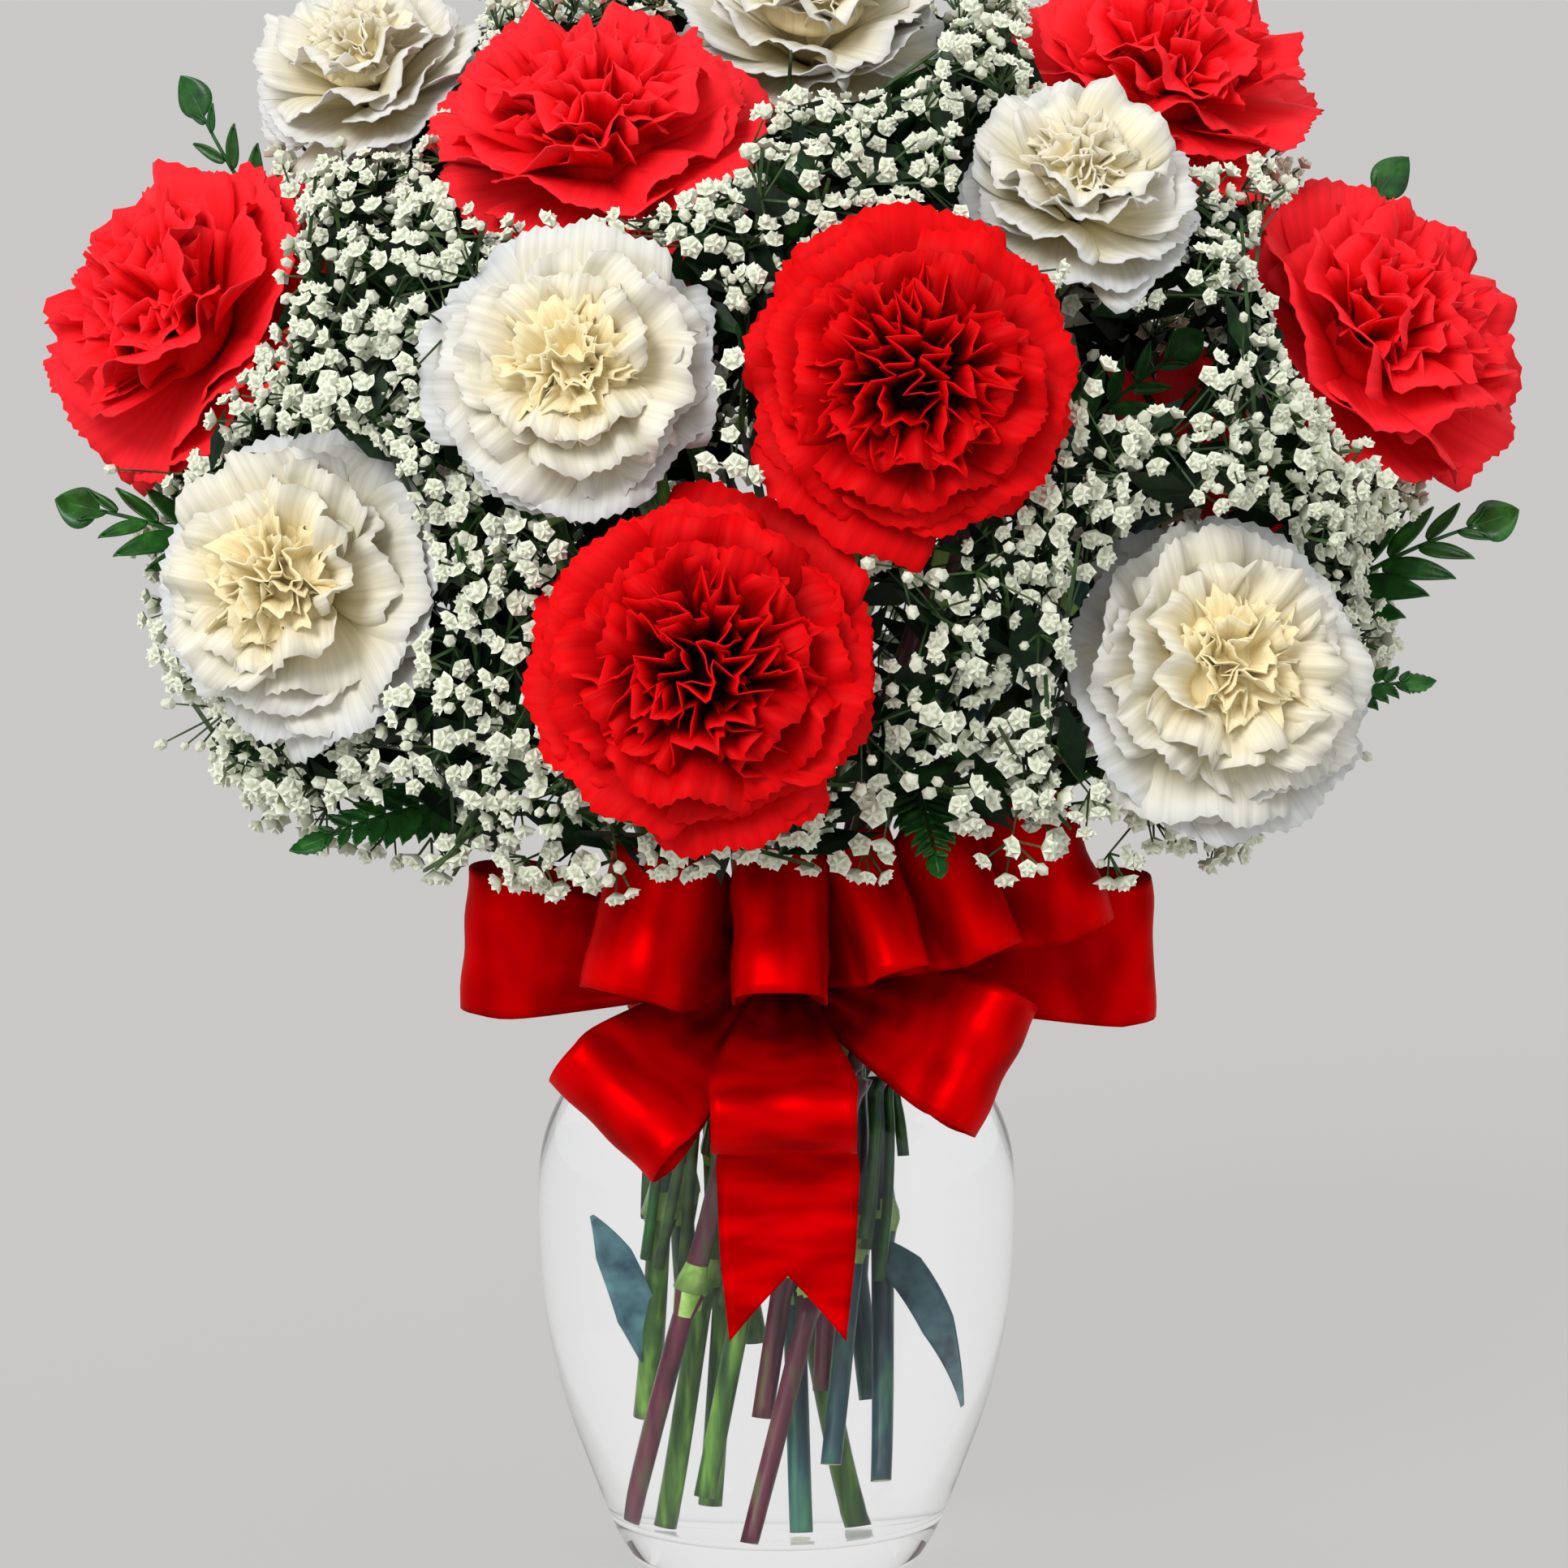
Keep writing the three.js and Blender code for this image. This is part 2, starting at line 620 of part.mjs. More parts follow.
function clearOfFrond(p, blade, room) {
  const from = p.clone().sub(blade.from);
  const along = from.dot(blade.along);
  if (along < -room || along > 1.05 * blade.length + room) return true;
  if (Math.abs(from.dot(blade.side)) > blade.width / 2 + room) return true;
  return Math.abs(from.dot(blade.normal)) > FROND_ARCH + room;
}

// A twig grows from a face of the spray's leader to a floret, an open four-sided cup
function addFloret(body, corners, to) {
  const base = corners.map((i) => body.points[i]);
  const way = to.clone().sub(middleOf(base)).normalize();
  const across = base[1].clone().add(base[2]).sub(base[0]).sub(base[3]);
  across.addScaledVector(way, -across.dot(way)).normalize();
  const upward = new THREE.Vector3().crossVectors(way, across);
  const square = (d, r) =>
    addPoints(
      body,
      [
        [-1, -1],
        [1, -1],
        [1, 1],
        [-1, 1],
      ].map(([u, v]) =>
        to
          .clone()
          .addScaledVector(way, d)
          .addScaledVector(across, u * r * Math.SQRT1_2)
          .addScaledVector(upward, v * r * Math.SQRT1_2),
      ),
    );
  const neck = square(-FLORET_DEPTH, TWIG_RADIUS);
  const rim = square(0, FLORET_RADIUS);
  addBand(body, corners, neck);
  addBand(body, neck, rim);
  addTip(body, rim, to.clone().addScaledVector(way, FLORET_CROWN));
}

// The line of a twig-thin stem
function thinStem(path) {
  return [path.bottom, ...path.bent];
}

// The rings of a spray's stem and of its leader beyond the fork
function sprayRings(path, { fork, way }) {
  const stem = thinStem(path);
  const leader = Array.from({ length: LEADER_STEPS }, (_, i) =>
    fork.clone().addScaledVector(way, ((i + 1) * LEADER_LENGTH) / LEADER_STEPS),
  );
  const points = [...stem, ...leader];
  const radii = points.map((_, i) => (i < stem.length - 1 ? TWIG_STEM_RADIUS : LEADER_RADIUS));
  return tubeRings(points, radii, 4, crossAxes(way)[0]);
}

// The faces of a leader that can carry a twig, named by their band and side
function leaderFaces(rings) {
  const first = rings.length - 1 - LEADER_STEPS;
  return Array.from({ length: 4 * LEADER_STEPS }, (_, n) => {
    const [band, k] = [first + Math.floor(n / 4), n % 4];
    const [low, high] = [rings[band], rings[band + 1]];
    const next = (k + 1) % 4;
    const corners = [low[k], low[next], high[next], high[k]];
    const root = middleOf(corners);
    return { band, k, corners, root, out: root.clone().sub(middleOf([...low, ...high])).normalize() };
  });
}

// The closed solid of one twig with its floret
function floretSolid(base, to) {
  const body = newBody();
  const corners = addPoints(body, base);
  addPolygon(body, [...corners].reverse());
  addFloret(body, corners, to);
  return closedBody(body.points, body.faces);
}

// Each floret goes to a free face of the nearest spray from which its twig passes clear of everything
function shareFlorets(frames, sprays, sprayPaths, otherPaths, blades) {
  const rings = sprays.map((spray, k) => sprayRings(sprayPaths[k], spray));
  const solids = rings.map((list) => [loft(list)]);
  const placed = [];
  const loopEnds = LOOPS.map(({ end }) => vector(end));
  const faces = sprays.flatMap((spray, k) => {
    const own = { spray: k, way: spray.way, taken: false };
    return leaderFaces(rings[k]).map((face) => ({ ...face, ...own }));
  });
  const blocked = ({ root, spray }, p) => {
    for (let s = 0.2; s <= 1.001; s += 0.1) {
      const q = root.clone().lerp(p, s);
      const room = s > FLORET_SHARE ? FLORET_RADIUS + FLORET_ROOM : TWIG_RADIUS + TWIG_ROOM;
      if (!frames.every((frame) => clearOfBloom(q, frame, room))) return true;
      if (!blades.every((blade) => clearOfFrond(q, blade, FROND_SHARE * room))) return true;
      if (loopEnds.some((end) => distanceToSegment(q, KNOT, end) < RIBBON_WIDTH / 2 + room)) return true;
    }
    const hitsStem = (path, radius) =>
      path.bent.some((b, j) => j && segmentsApart(root, p, path.bent[j - 1], b) < radius + TWIG_RADIUS + 1);
    if (otherPaths.some((path) => hitsStem(path, STEM_RADIUS))) return true;
    if (sprayPaths.some((path, j) => j !== spray && hitsStem(path, TWIG_STEM_RADIUS))) return true;
    const hitsLeader = (one) => segmentsApart(root, p, one.fork, one.top) < LEADER_GAP;
    if (sprays.some((one, j) => j !== spray && hitsLeader(one))) return true;
    const outer = root.clone().lerp(p, FREE_SHARE);
    const besideFloret = FLORET_RADIUS + TWIG_RADIUS + FLORET_ROOM;
    const besideTwig = 2 * TWIG_RADIUS + TWIG_GAP;
    return placed.some(
      (other) =>
        other.p.distanceTo(p) < FLORET_SPACING * FLORET_RADIUS ||
        distanceToSegment(p, other.root, other.p) < besideFloret ||
        distanceToSegment(other.p, root, p) < besideFloret ||
        segmentsApart(outer, p, other.root, other.p) < besideTwig ||
        segmentsApart(other.root.clone().lerp(other.p, FREE_SHARE), other.p, root, p) < besideTwig,
    );
  };
  shellPoints().forEach((p) => {
    const options = faces.filter(({ root, out, way, taken }) => {
      const from = p.clone().sub(root);
      const far = from.length();
      if (taken || far > TWIG_REACH) return false;
      return from.dot(out) > LEAST_OUTWARD * far && from.dot(way) > LEAST_FORWARD * far;
    });
    const cost = ({ root, out }) => root.distanceTo(p) - OUTWARD_BONUS * p.clone().sub(root).dot(out);
    options.sort((a, b) => cost(a) - cost(b));
    const crosses = ({ spray, corners }) => {
      const twig = floretSolid(corners, p);
      return solids[spray].some((one) => one.intersect(twig).volume() > TOUCHING);
    };
    const choice = options.find((face) => !blocked(face, p) && !crosses(face));
    if (!choice) return;
    choice.taken = true;
    solids[choice.spray].push(floretSolid(choice.corners, p));
    placed.push({ ...choice, p });
  });
  return placed;
}

function buildSpray(path, spray, florets) {
  const body = newBody();
  const rings = sprayRings(path, spray).map((ring) => addPoints(body, ring));
  addPolygon(body, [...rings[0]].reverse());
  rings.slice(1).forEach((ring, i) =>
    addBand(body, rings[i], ring, (k, corners) => {
      const mine = florets.find((one) => one.band === i && one.k === k);
      if (mine) addFloret(body, corners, mine.p);
      return Boolean(mine);
    }),
  );
  addPolygon(body, rings.at(-1));
  return closedBody(body.points, body.faces);
}

// Fern: one arched blade whose outline is cut into pinnae down to the rib
function bladeFrame({ tip, base, width, up }) {
  const from = vector(base);
  const along = vector(tip).sub(from);
  const length = along.length();
  along.normalize();
  const side = new THREE.Vector3().crossVectors(vector(up), along).normalize();
  return { from, along, length, side, width, normal: new THREE.Vector3().crossVectors(along, side) };
}

function bladePoint({ from, along, length, side, normal, width }, s, w) {
  return from
    .clone()
    .addScaledVector(along, s * length)
    .addScaledVector(side, w)
    .addScaledVector(normal, ARCH_SHARE * length * Math.sin(Math.PI * Math.min(s, 1)))
    .addScaledVector(normal, (-DROOP_SHARE * w * w) / width);
}

// The cut outline of half a blade, as distances along the rib and out from it
function pinnae(blade) {
  return Array.from({ length: PINNAE }, (_, k) => {
    const s = k / PINNAE;
    const reach = (blade.width / 2) * (1 - s) ** 0.7;
    return [
      [s + 0.04, RIB_WIDTH / 2],
      [s + 0.5 / PINNAE, 0.86 * reach],
      [s + 1.15 / PINNAE, reach],
    ];
  }).flat();
}

function buildFrond(path, blade) {
  const half = pinnae(blade);
  const m = half.length;
  const edge = half.map(([s, w]) => bladePoint(blade, s, -w));
  edge.push(bladePoint(blade, BLADE_TIP, 0));
  edge.push(...half.map(([s, w]) => bladePoint(blade, s, w)).reverse());
  // Points 0 and 2m + 2 are the corners at the stalk, and m + 1 is the tip
  const left = (i) => Math.min(1 + i, m + 1);
  const right = (i) => Math.max(2 * m + 1 - i, m + 1);
  const triangulate = () => {
    const triangles = [
      [0, left(0), right(0)],
      [0, right(0), 2 * m + 2],
    ];
    for (let i = 0; i < m; i += 3) {
      triangles.push([left(i), left(i + 1), left(i + 3)], [left(i + 1), left(i + 2), left(i + 3)]);
      triangles.push([right(i), right(i + 3), right(i + 1)], [right(i + 1), right(i + 3), right(i + 2)]);
      triangles.push([left(i), left(i + 3), right(i)]);
      if (i + 3 < m) triangles.push([right(i), left(i + 3), right(i + 3)]);
    }
    return triangles;
  };
  const body = newBody();
  const stalk = thinStem(path);
  const radii = stalk.map(() => TWIG_STEM_RADIUS);
  const rings = tubeRings(stalk, radii, 4, blade.side);
  const [highRight, highLeft, lowLeft, lowRight] = addTube(body, rings, false);
  const corners = [lowLeft, lowRight, highRight, highLeft];
  addSheet(body, corners, edge, blade.normal, FROND_THICKNESS, triangulate);
  return closedBody(body.points, body.faces);
}

// The bow

// A strip of ribbon through stations, each with a centre, a width direction and a half width
function ribbon(stations) {
  const rings = stations.map(({ centre, width, half }, i) => {
    const before = stations[Math.max(i - 1, 0)].centre;
    const ahead = stations[Math.min(i + 1, stations.length - 1)].centre.clone().sub(before);
    const normal = new THREE.Vector3().crossVectors(width, ahead).setLength(RIBBON_THICKNESS / 2);
    const edges = [-half, half].map((w) => centre.clone().addScaledVector(width, w));
    return [
      edges[0].clone().sub(normal),
      edges[1].clone().sub(normal),
      edges[1].clone().add(normal),
      edges[0].clone().add(normal),
    ];
  });
  return loft(rings);
}

// A loop leaves the knot, rounds its end and comes back, pinched where it starts
function bowLoop({ end, width, bulge }) {
  const along = vector(end).sub(KNOT);
  const reach = along.length();
  along.normalize();
  const upright = vector(width).addScaledVector(along, -vector(width).dot(along)).normalize();
  const across = new THREE.Vector3().crossVectors(along, upright);
  const h = bulge / 2;
  const sunk = LOOP_ROOT.sunk / along.clone().divide(vector(KNOT_SIZE)).length();
  const half = [
    [sunk, LOOP_ROOT.aside, LOOP_ROOT.width],
    ...LOOP_SECTIONS.map(({ out, less, aside, width: w }) => [out * reach - less * h, aside * h, w]),
  ];
  const round = [...half, ...half.map(([a, c, w]) => [a, -c, w]).reverse()];
  return ribbon(
    round.map(([a, c, w]) => ({
      centre: KNOT.clone().addScaledVector(along, a).addScaledVector(across, c),
      width: upright,
      half: (w * RIBBON_WIDTH) / 2,
    })),
  );
}

// The tail hangs in front of the belly and ends in a swallowtail
function bowTail() {
  const width = new THREE.Vector3(1, 0, 0);
  const end = TAIL.at(-1);
  const notch = new THREE.Shape();
  notch.moveTo(-RIBBON_WIDTH, -TAIL_NOTCH);
  notch.lineTo(-end.half, 0);
  notch.lineTo(0, TAIL_NOTCH);
  notch.lineTo(end.half, 0);
  notch.lineTo(RIBBON_WIDTH, -TAIL_NOTCH);
  const depth = 20 * RIBBON_THICKNESS;
  const cutter = new THREE.ExtrudeGeometry(notch, { depth, bevelEnabled: false });
  const [x, y, z] = end.centre;
  cutter.rotateX(Math.PI / 2).translate(x, y + depth / 2, z);
  const strip = ribbon(TAIL.map(({ centre, half }) => ({ centre: vector(centre), width, half })));
  return strip.subtract(toSolid(cutter));
}

// A turn of the ribbon round the neck, clear of the glass at the middle of its flats
function neckTurn() {
  const inner = (outsideRadius(TIE_TOP) + SEAT_GAP) / Math.cos(Math.PI / TIE_SIDES);
  const [outer, low] = [inner + TIE_THICKNESS, TIE_TOP - TIE_HEIGHT];
  const profile = [
    [inner, low],
    [outer, low],
    [outer, TIE_TOP],
    [inner, TIE_TOP],
    [inner, low],
  ];
  const start = new THREE.Vector3(0, -inner - 2 * TIE_THICKNESS, TIE_TOP - TIE_HEIGHT / 2);
  return join([lathe(profile, TIE_SIDES), tube([start, KNOT], KNOT_ROOT, 5)]);
}

function buildBow() {
  const lump = new THREE.SphereGeometry(1, 7, 5).scale(...KNOT_SIZE).translate(...KNOT.toArray());
  return join([neckTurn(), toSolid(lump), bowTail(), ...LOOPS.map(bowLoop)]);
}

// Everything together

const clear = { transparent: true, opacity: 0.3 };
const materials = {
  red: new THREE.MeshStandardMaterial({ color: 0xd8121a, roughness: 0.65 }),
  white: new THREE.MeshStandardMaterial({ color: 0xf4f1e6, roughness: 0.65 }),
  stem: new THREE.MeshStandardMaterial({ color: 0x5f7a52, roughness: 0.6 }),
  spray: new THREE.MeshStandardMaterial({ color: 0xeceee2, roughness: 0.8 }),
  fern: new THREE.MeshStandardMaterial({ color: 0x1f5a24, roughness: 0.5 }),
  ribbon: new THREE.MeshStandardMaterial({ color: 0xb80410, roughness: 0.35 }),
  glass: new THREE.MeshStandardMaterial({ color: 0xe9eeee, roughness: 0.03, ...clear }),
  water: new THREE.MeshStandardMaterial({ color: 0xe6efef, roughness: 0.02, ...clear }),
};
const bouquet = new THREE.Group();

function place(name, solid, material) {
  const mesh = new THREE.Mesh(toGeometry(solid), material);
  mesh.name = name;
  bouquet.add(mesh);
}

const frames = BLOOMS.map(bloomFrame);
const forks = SPRAYS.map(vector);
const sprays = forks.map((fork) => {
  const way = fork.clone().sub(SHELL_CENTRE).normalize();
  return { fork, way, top: fork.clone().addScaledVector(way, LEADER_LENGTH) };
});
const blades = FRONDS.map(bladeFrame);
const random = randomSource(71);
const thinCut = () => THREE.MathUtils.lerp(...THIN_CUT, random());
const heads = [
  ...frames.map(({ base, face }, i) => ({ end: base, heading: face, cut: BLOOMS[i].at(-1), thick: true })),
  ...forks.map((fork, k) => ({ end: fork, heading: sprays[k].way, cut: thinCut() })),
  ...blades.map(({ from, along }) => ({ end: from, heading: along, cut: thinCut() })),
];
const slots = gatherSlots(
  heads.map(({ end }) => end),
  heads.map(({ thick }) => (thick ? NODE_RADIUS - 0.5 : TWIG_STEM_RADIUS)),
);
const paths = heads.map(({ end, heading, cut }, i) => stemPath(slots[i], cut, end, heading));
const holes = paths.map((path, i) =>
  heads[i].thick
    ? waterHole(path, NODE_RADIUS + 1.25 * SEAT_GAP, 5)
    : waterHole(path, TWIG_STEM_RADIUS + 3 * SEAT_GAP, 4),
);
const leavesOn = (i, margin) => {
  const own = WATER_LEAVES.filter(({ carnation }) => carnation === BLOOMS[i][0]);
  return own.map((leaf) => waterLeaf(paths[i], leaf, margin));
};
const leafSlots = BLOOMS.flatMap((_, i) => leavesOn(i, SEAT_GAP));
const [forkStart, frondStart] = [frames.length, frames.length + forks.length];
const forkPaths = paths.slice(forkStart, frondStart);
const otherPaths = [...paths.slice(0, forkStart), ...paths.slice(frondStart)];

place("vase", buildVase(), materials.glass);
place("water", buildWater([...holes, ...leafSlots]), materials.water);
frames.forEach((frame, i) => {
  const [name, colour] = BLOOMS[i];
  place("stem_" + name, join([buildStem(paths[i], frame), ...leavesOn(i, 0)]), materials.stem);
  place("bloom_" + name, buildBloom(frame, 1000 + 37 * i), materials[colour]);
});
const placed = shareFlorets(frames, sprays, forkPaths, otherPaths, blades);
sprays.forEach((spray, k) => {
  const mine = placed.filter((one) => one.spray === k);
  place("spray_" + String(k + 1).padStart(2, "0"), buildSpray(forkPaths[k], spray, mine), materials.spray);
});
blades.forEach((blade, k) => {
  place("fern_" + String(k + 1).padStart(2, "0"), buildFrond(paths[frondStart + k], blade), materials.fern);
});
place("ribbon_bow", buildBow(), materials.ribbon);

export default bouquet;
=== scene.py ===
# %% [markdown]
# # Carnations in a vase
# Sixteen red and white carnations stand in a clear glass urn vase with baby's breath and leatherleaf
# fern, and a red satin bow hides the vase's neck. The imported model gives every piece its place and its
# size. This script dresses it: each rough solid is replaced by a fine mesh that keeps its form.
# Lengths in the real object are given in millimetres, and MM turns them into Blender's metres.

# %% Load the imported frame
import math

import bmesh
import bpy
import numpy as np
from mathutils import Matrix, Vector


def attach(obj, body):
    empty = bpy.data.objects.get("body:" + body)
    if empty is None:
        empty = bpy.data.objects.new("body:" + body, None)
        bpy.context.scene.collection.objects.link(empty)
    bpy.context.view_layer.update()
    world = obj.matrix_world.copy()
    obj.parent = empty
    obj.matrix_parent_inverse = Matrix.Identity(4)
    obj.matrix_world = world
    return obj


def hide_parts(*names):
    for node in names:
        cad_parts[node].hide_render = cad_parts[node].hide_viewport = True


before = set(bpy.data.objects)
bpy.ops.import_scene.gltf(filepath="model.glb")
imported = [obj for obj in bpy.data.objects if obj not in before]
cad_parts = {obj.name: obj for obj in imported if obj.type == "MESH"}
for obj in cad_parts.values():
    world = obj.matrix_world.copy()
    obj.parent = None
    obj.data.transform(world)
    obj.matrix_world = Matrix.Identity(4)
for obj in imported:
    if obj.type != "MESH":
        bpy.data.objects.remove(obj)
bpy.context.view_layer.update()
MM = 0.001
names = sorted(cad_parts)
bloom_names = [name[len("bloom_"):] for name in names if name.startswith("bloom_")]
print(len(names), "nodes,", len(bloom_names), "blooms")

# %% [markdown]
# ## Camera
# The photo looks slightly down, about 8 degrees, through a long lens: the bloom sizes and the vase's
# upright sides fit a distance of 1.5 m. The frame is square, 1932 pixels wide. The lens is worked out in
# pixels first, and 6900 pixels of focal length on a 36 mm sensor make a 128.6 mm lens.

# %% Camera
PHOTO_PIXELS = 1932
FOCAL_PIXELS = 6900
TARGET = Vector((2, 0, 211)) * MM
DISTANCE = 1500 * MM
ELEVATION = math.radians(8)
SENSOR = 36  # mm

camera_data = bpy.data.cameras.new("camera")
camera_data.sensor_fit = "HORIZONTAL"
camera_data.sensor_width = SENSOR
camera_data.lens = SENSOR * FOCAL_PIXELS / PHOTO_PIXELS
camera = bpy.data.objects.new("camera", camera_data)
camera.location = TARGET + DISTANCE * Vector((0, -math.cos(ELEVATION), math.sin(ELEVATION)))
camera.rotation_euler = (math.pi / 2 - ELEVATION, 0, 0)
bpy.context.scene.collection.objects.link(camera)
bpy.context.scene.camera = camera
print("camera at", [round(c, 3) for c in camera.location], "lens", round(camera_data.lens, 1))

# %% [markdown]
# ## Helpers for materials
# Colours are written as sRGB hex, as a colour picker shows them, and one function turns them linear.
# One function adds a node with its settings and its links, so that a material reads as a short list.

# %% Material helpers
COLOUR_A, COLOUR_B, COLOUR_OUT = 6, 7, 2  # a Mix node's colour sockets, as its numbers share their names
MULTIPLY = {"data_type": "RGBA", "blend_type": "MULTIPLY"}


def linear(hex_colour):
    channels = [int(hex_colour[i : i + 2], 16) / 255 for i in (1, 3, 5)]
    return [c / 12.92 if c <= 0.04045 else ((c + 0.055) / 1.055) ** 2.4 for c in channels] + [1.0]


def add_node(tree, kind, inputs=None, stops=None, **settings):
    """A node with its settings, the values or links of its inputs and, for a colour ramp, its stops."""
    node = tree.nodes.new(kind)
    for name, value in settings.items():
        setattr(node, name, value)
    for name, value in (inputs or {}).items():
        if isinstance(value, bpy.types.NodeSocket):
            tree.links.new(value, node.inputs[name])
        else:
            node.inputs[name].default_value = value
    for i, (place, hex_colour) in enumerate(stops or []):
        ramp = node.color_ramp
        stop = ramp.elements[i] if i < len(ramp.elements) else ramp.elements.new(place)
        stop.position = place
        stop.color = linear(hex_colour)
    return node


def new_material(name):
    material = bpy.data.materials.new(name)
    material.use_nodes = True
    material.node_tree.nodes.clear()
    return material, material.node_tree


print("mid grey in linear light:", round(linear("#808080")[0], 3))

# %% [markdown]
# ## Petal finish
# A carnation petal is thin, matte and slightly velvety. Veins fan out from its claw to its edge, and the
# colour changes along it: clear in the middle; on red, painted darker at the base as shade deep in the
# bloom and brighter at the edge as painted light where light comes through; on white, cream at the base.
# Towards the heart a red bloom is painted darker, as shade between its packed petals, and a white one turns
# cream. Each petal mesh carries three numbers at its points: along, from claw to edge; across, from side
# to side; and heart, from the outer layer to the centre of the bloom. The material reads those, so the
# pattern follows each petal however it is ruffled. Veins are about 1 mm apart on a 35 mm wide petal.

# %% Petal materials
VEINS = 17.0  # half a petal's width in vein spacings
VEIN_HEIGHT = 0.4 * MM


def petal_material(name, claw, middle, edge, heart, blend):
    material, tree = new_material(name)
    along = add_node(tree, "ShaderNodeAttribute", attribute_name="along")
    across = add_node(tree, "ShaderNodeAttribute", attribute_name="across")
    inward = add_node(tree, "ShaderNodeAttribute", attribute_name="heart")
    body = add_node(
        tree, "ShaderNodeValToRGB", {"Fac": along.outputs["Fac"]}, [(0.3, claw), (0.72, middle), (0.97, edge)]
    )
    # Painted shade on red: the heart colour is multiplied in towards the bloom's heart; a white bloom mixes
    # in its cream there
    deep = add_node(
        tree,
        "ShaderNodeMix",
        {"Factor": inward.outputs["Fac"], COLOUR_A: body.outputs["Color"], COLOUR_B: linear(heart)},
        data_type="RGBA",
        blend_type=blend,
    )
    width = add_node(tree, "ShaderNodeMath", {0: across.outputs["Fac"], 1: VEINS}, operation="MULTIPLY")
    stretched = add_node(
        tree,
        "ShaderNodeCombineXYZ",
        {"X": width.outputs[0], "Y": along.outputs["Fac"], "Z": across.outputs["Fac"]},
    )
    veins = add_node(
        tree,
        "ShaderNodeTexNoise",
        {"Vector": stretched.outputs[0], "Scale": 1.0, "Detail": 2.0, "Roughness": 0.55},
    )
    shade = add_node(
        tree, "ShaderNodeValToRGB", {"Fac": veins.outputs["Fac"]}, [(0.3, "#ECECEC"), (0.62, "#FFFFFF")]
    )
    colour = add_node(
        tree,
        "ShaderNodeMix",
        {"Factor": 1.0, COLOUR_A: deep.outputs[COLOUR_OUT], COLOUR_B: shade.outputs["Color"]},
        **MULTIPLY,
    )
    bump = add_node(
        tree, "ShaderNodeBump", {"Height": veins.outputs["Fac"], "Strength": 0.35, "Distance": VEIN_HEIGHT}
    )
    shader = add_node(
        tree,
        "ShaderNodeBsdfPrincipled",
        {
            "Base Color": colour.outputs[COLOUR_OUT],
            "Roughness": 0.62,
            "IOR": 1.4,
            "Specular IOR Level": 0.12,
            "Normal": bump.outputs["Normal"],
        },
    )
    add_node(tree, "ShaderNodeOutputMaterial", {"Surface": shader.outputs["BSDF"]})
    return material


# On red the dark claw colour and the heart colour paint shade deep in the bloom, less on the loose blooms,
# and the bright edge colour paints light through the rim
red_petal = petal_material("fresh_red_petal", "#5A0004", "#C20006", "#E60309", "#7A1418", "MULTIPLY")
bright_petal = petal_material("bright_red_petal", "#EA141E", "#FA2029", "#FE2832", "#F0A4A4", "MULTIPLY")
white_petal = petal_material("fresh_white_petal", "#EADFB2", "#E4DECA", "#D9DBDB", "#F8EABF", "MIX")
print("petal finishes:", [finish.name for finish in (red_petal, bright_petal, white_petal)])

# %% [markdown]
# ## Green finishes
# Carnation stems are waxy and grey-green, with a blue bloom in places and yellow-green or purple tints
# near the joints. Fern is dark and half glossy. Gypsophila twigs are thin and fresh green. All three come
# from one recipe: a noise pattern in object coordinates, at the size of a real blotch, picks between
# colours, and a finer one gives the bump.

# %% Green materials
SKIN_GRAIN = 1.2 * MM  # pores and fine wrinkles, drawn coarse enough to show


def leafy_material(name, stops, blotch_mm, roughness, bump_mm, streak=1.0, shine=0.5):
    """A low streak draws the blotches out upwards, as along a stem."""
    material, tree = new_material(name)
    place = add_node(tree, "ShaderNodeTexCoord")
    drawn_out = add_node(
        tree, "ShaderNodeVectorMath", {0: place.outputs["Object"], 1: (1, 1, streak)}, operation="MULTIPLY"
    )
    blotches = add_node(
        tree,
        "ShaderNodeTexNoise",
        {"Vector": drawn_out.outputs[0], "Scale": 1 / (blotch_mm * MM), "Detail": 3.0, "Roughness": 0.6},
    )
    colour = add_node(tree, "ShaderNodeValToRGB", {"Fac": blotches.outputs["Fac"]}, stops)
    grain = add_node(
        tree,
        "ShaderNodeTexNoise",
        {"Vector": place.outputs["Object"], "Scale": 1 / SKIN_GRAIN, "Detail": 2.0},
    )
    bump = add_node(
        tree, "ShaderNodeBump", {"Height": grain.outputs["Fac"], "Strength": 0.4, "Distance": bump_mm * MM}
    )
    shader = add_node(
        tree,
        "ShaderNodeBsdfPrincipled",
        {
            "Base Color": colour.outputs["Color"],
            "Roughness": roughness,
            "IOR": 1.45,
            "Specular IOR Level": shine,
            "Normal": bump.outputs["Normal"],
        },
    )
    add_node(tree, "ShaderNodeOutputMaterial", {"Surface": shader.outputs["BSDF"]})
    return material


STEM_SKIN = {"blotch_mm": 4, "roughness": 0.3, "bump_mm": 0.1, "streak": 0.08}
waxy_stem = leafy_material(
    "waxy_green_stem", [(0.3, "#142A0E"), (0.5, "#30561E"), (0.7, "#6E9A3C")], **STEM_SKIN
)
blue_stem = leafy_material(
    "waxy_blue_stem", [(0.3, "#0A1A22"), (0.5, "#20444E"), (0.68, "#41785C")], **STEM_SKIN
)
mauve_stem = leafy_material("mauve_stem", [(0.3, "#22060F"), (0.5, "#56182E"), (0.7, "#43582A")], **STEM_SKIN)
joint_green = leafy_material("swollen_joint", [(0.35, "#6A9A36"), (0.65, "#AECC78")], 6, 0.4, 0.1)
cut_end = leafy_material("cut_stem_end", [(0.35, "#B9BC8E"), (0.65, "#E4E2C0")], 2, 0.7, 0.2)
calyx_green = leafy_material(
    "carnation_calyx", [(0.35, "#5E7A4A"), (0.65, "#86A060")], blotch_mm=6, roughness=0.5, bump_mm=0.1
)
leaf_blue = leafy_material(
    "glaucous_leaf", [(0.35, "#284658"), (0.65, "#5C8890")], blotch_mm=9, roughness=0.45, bump_mm=0.1
)
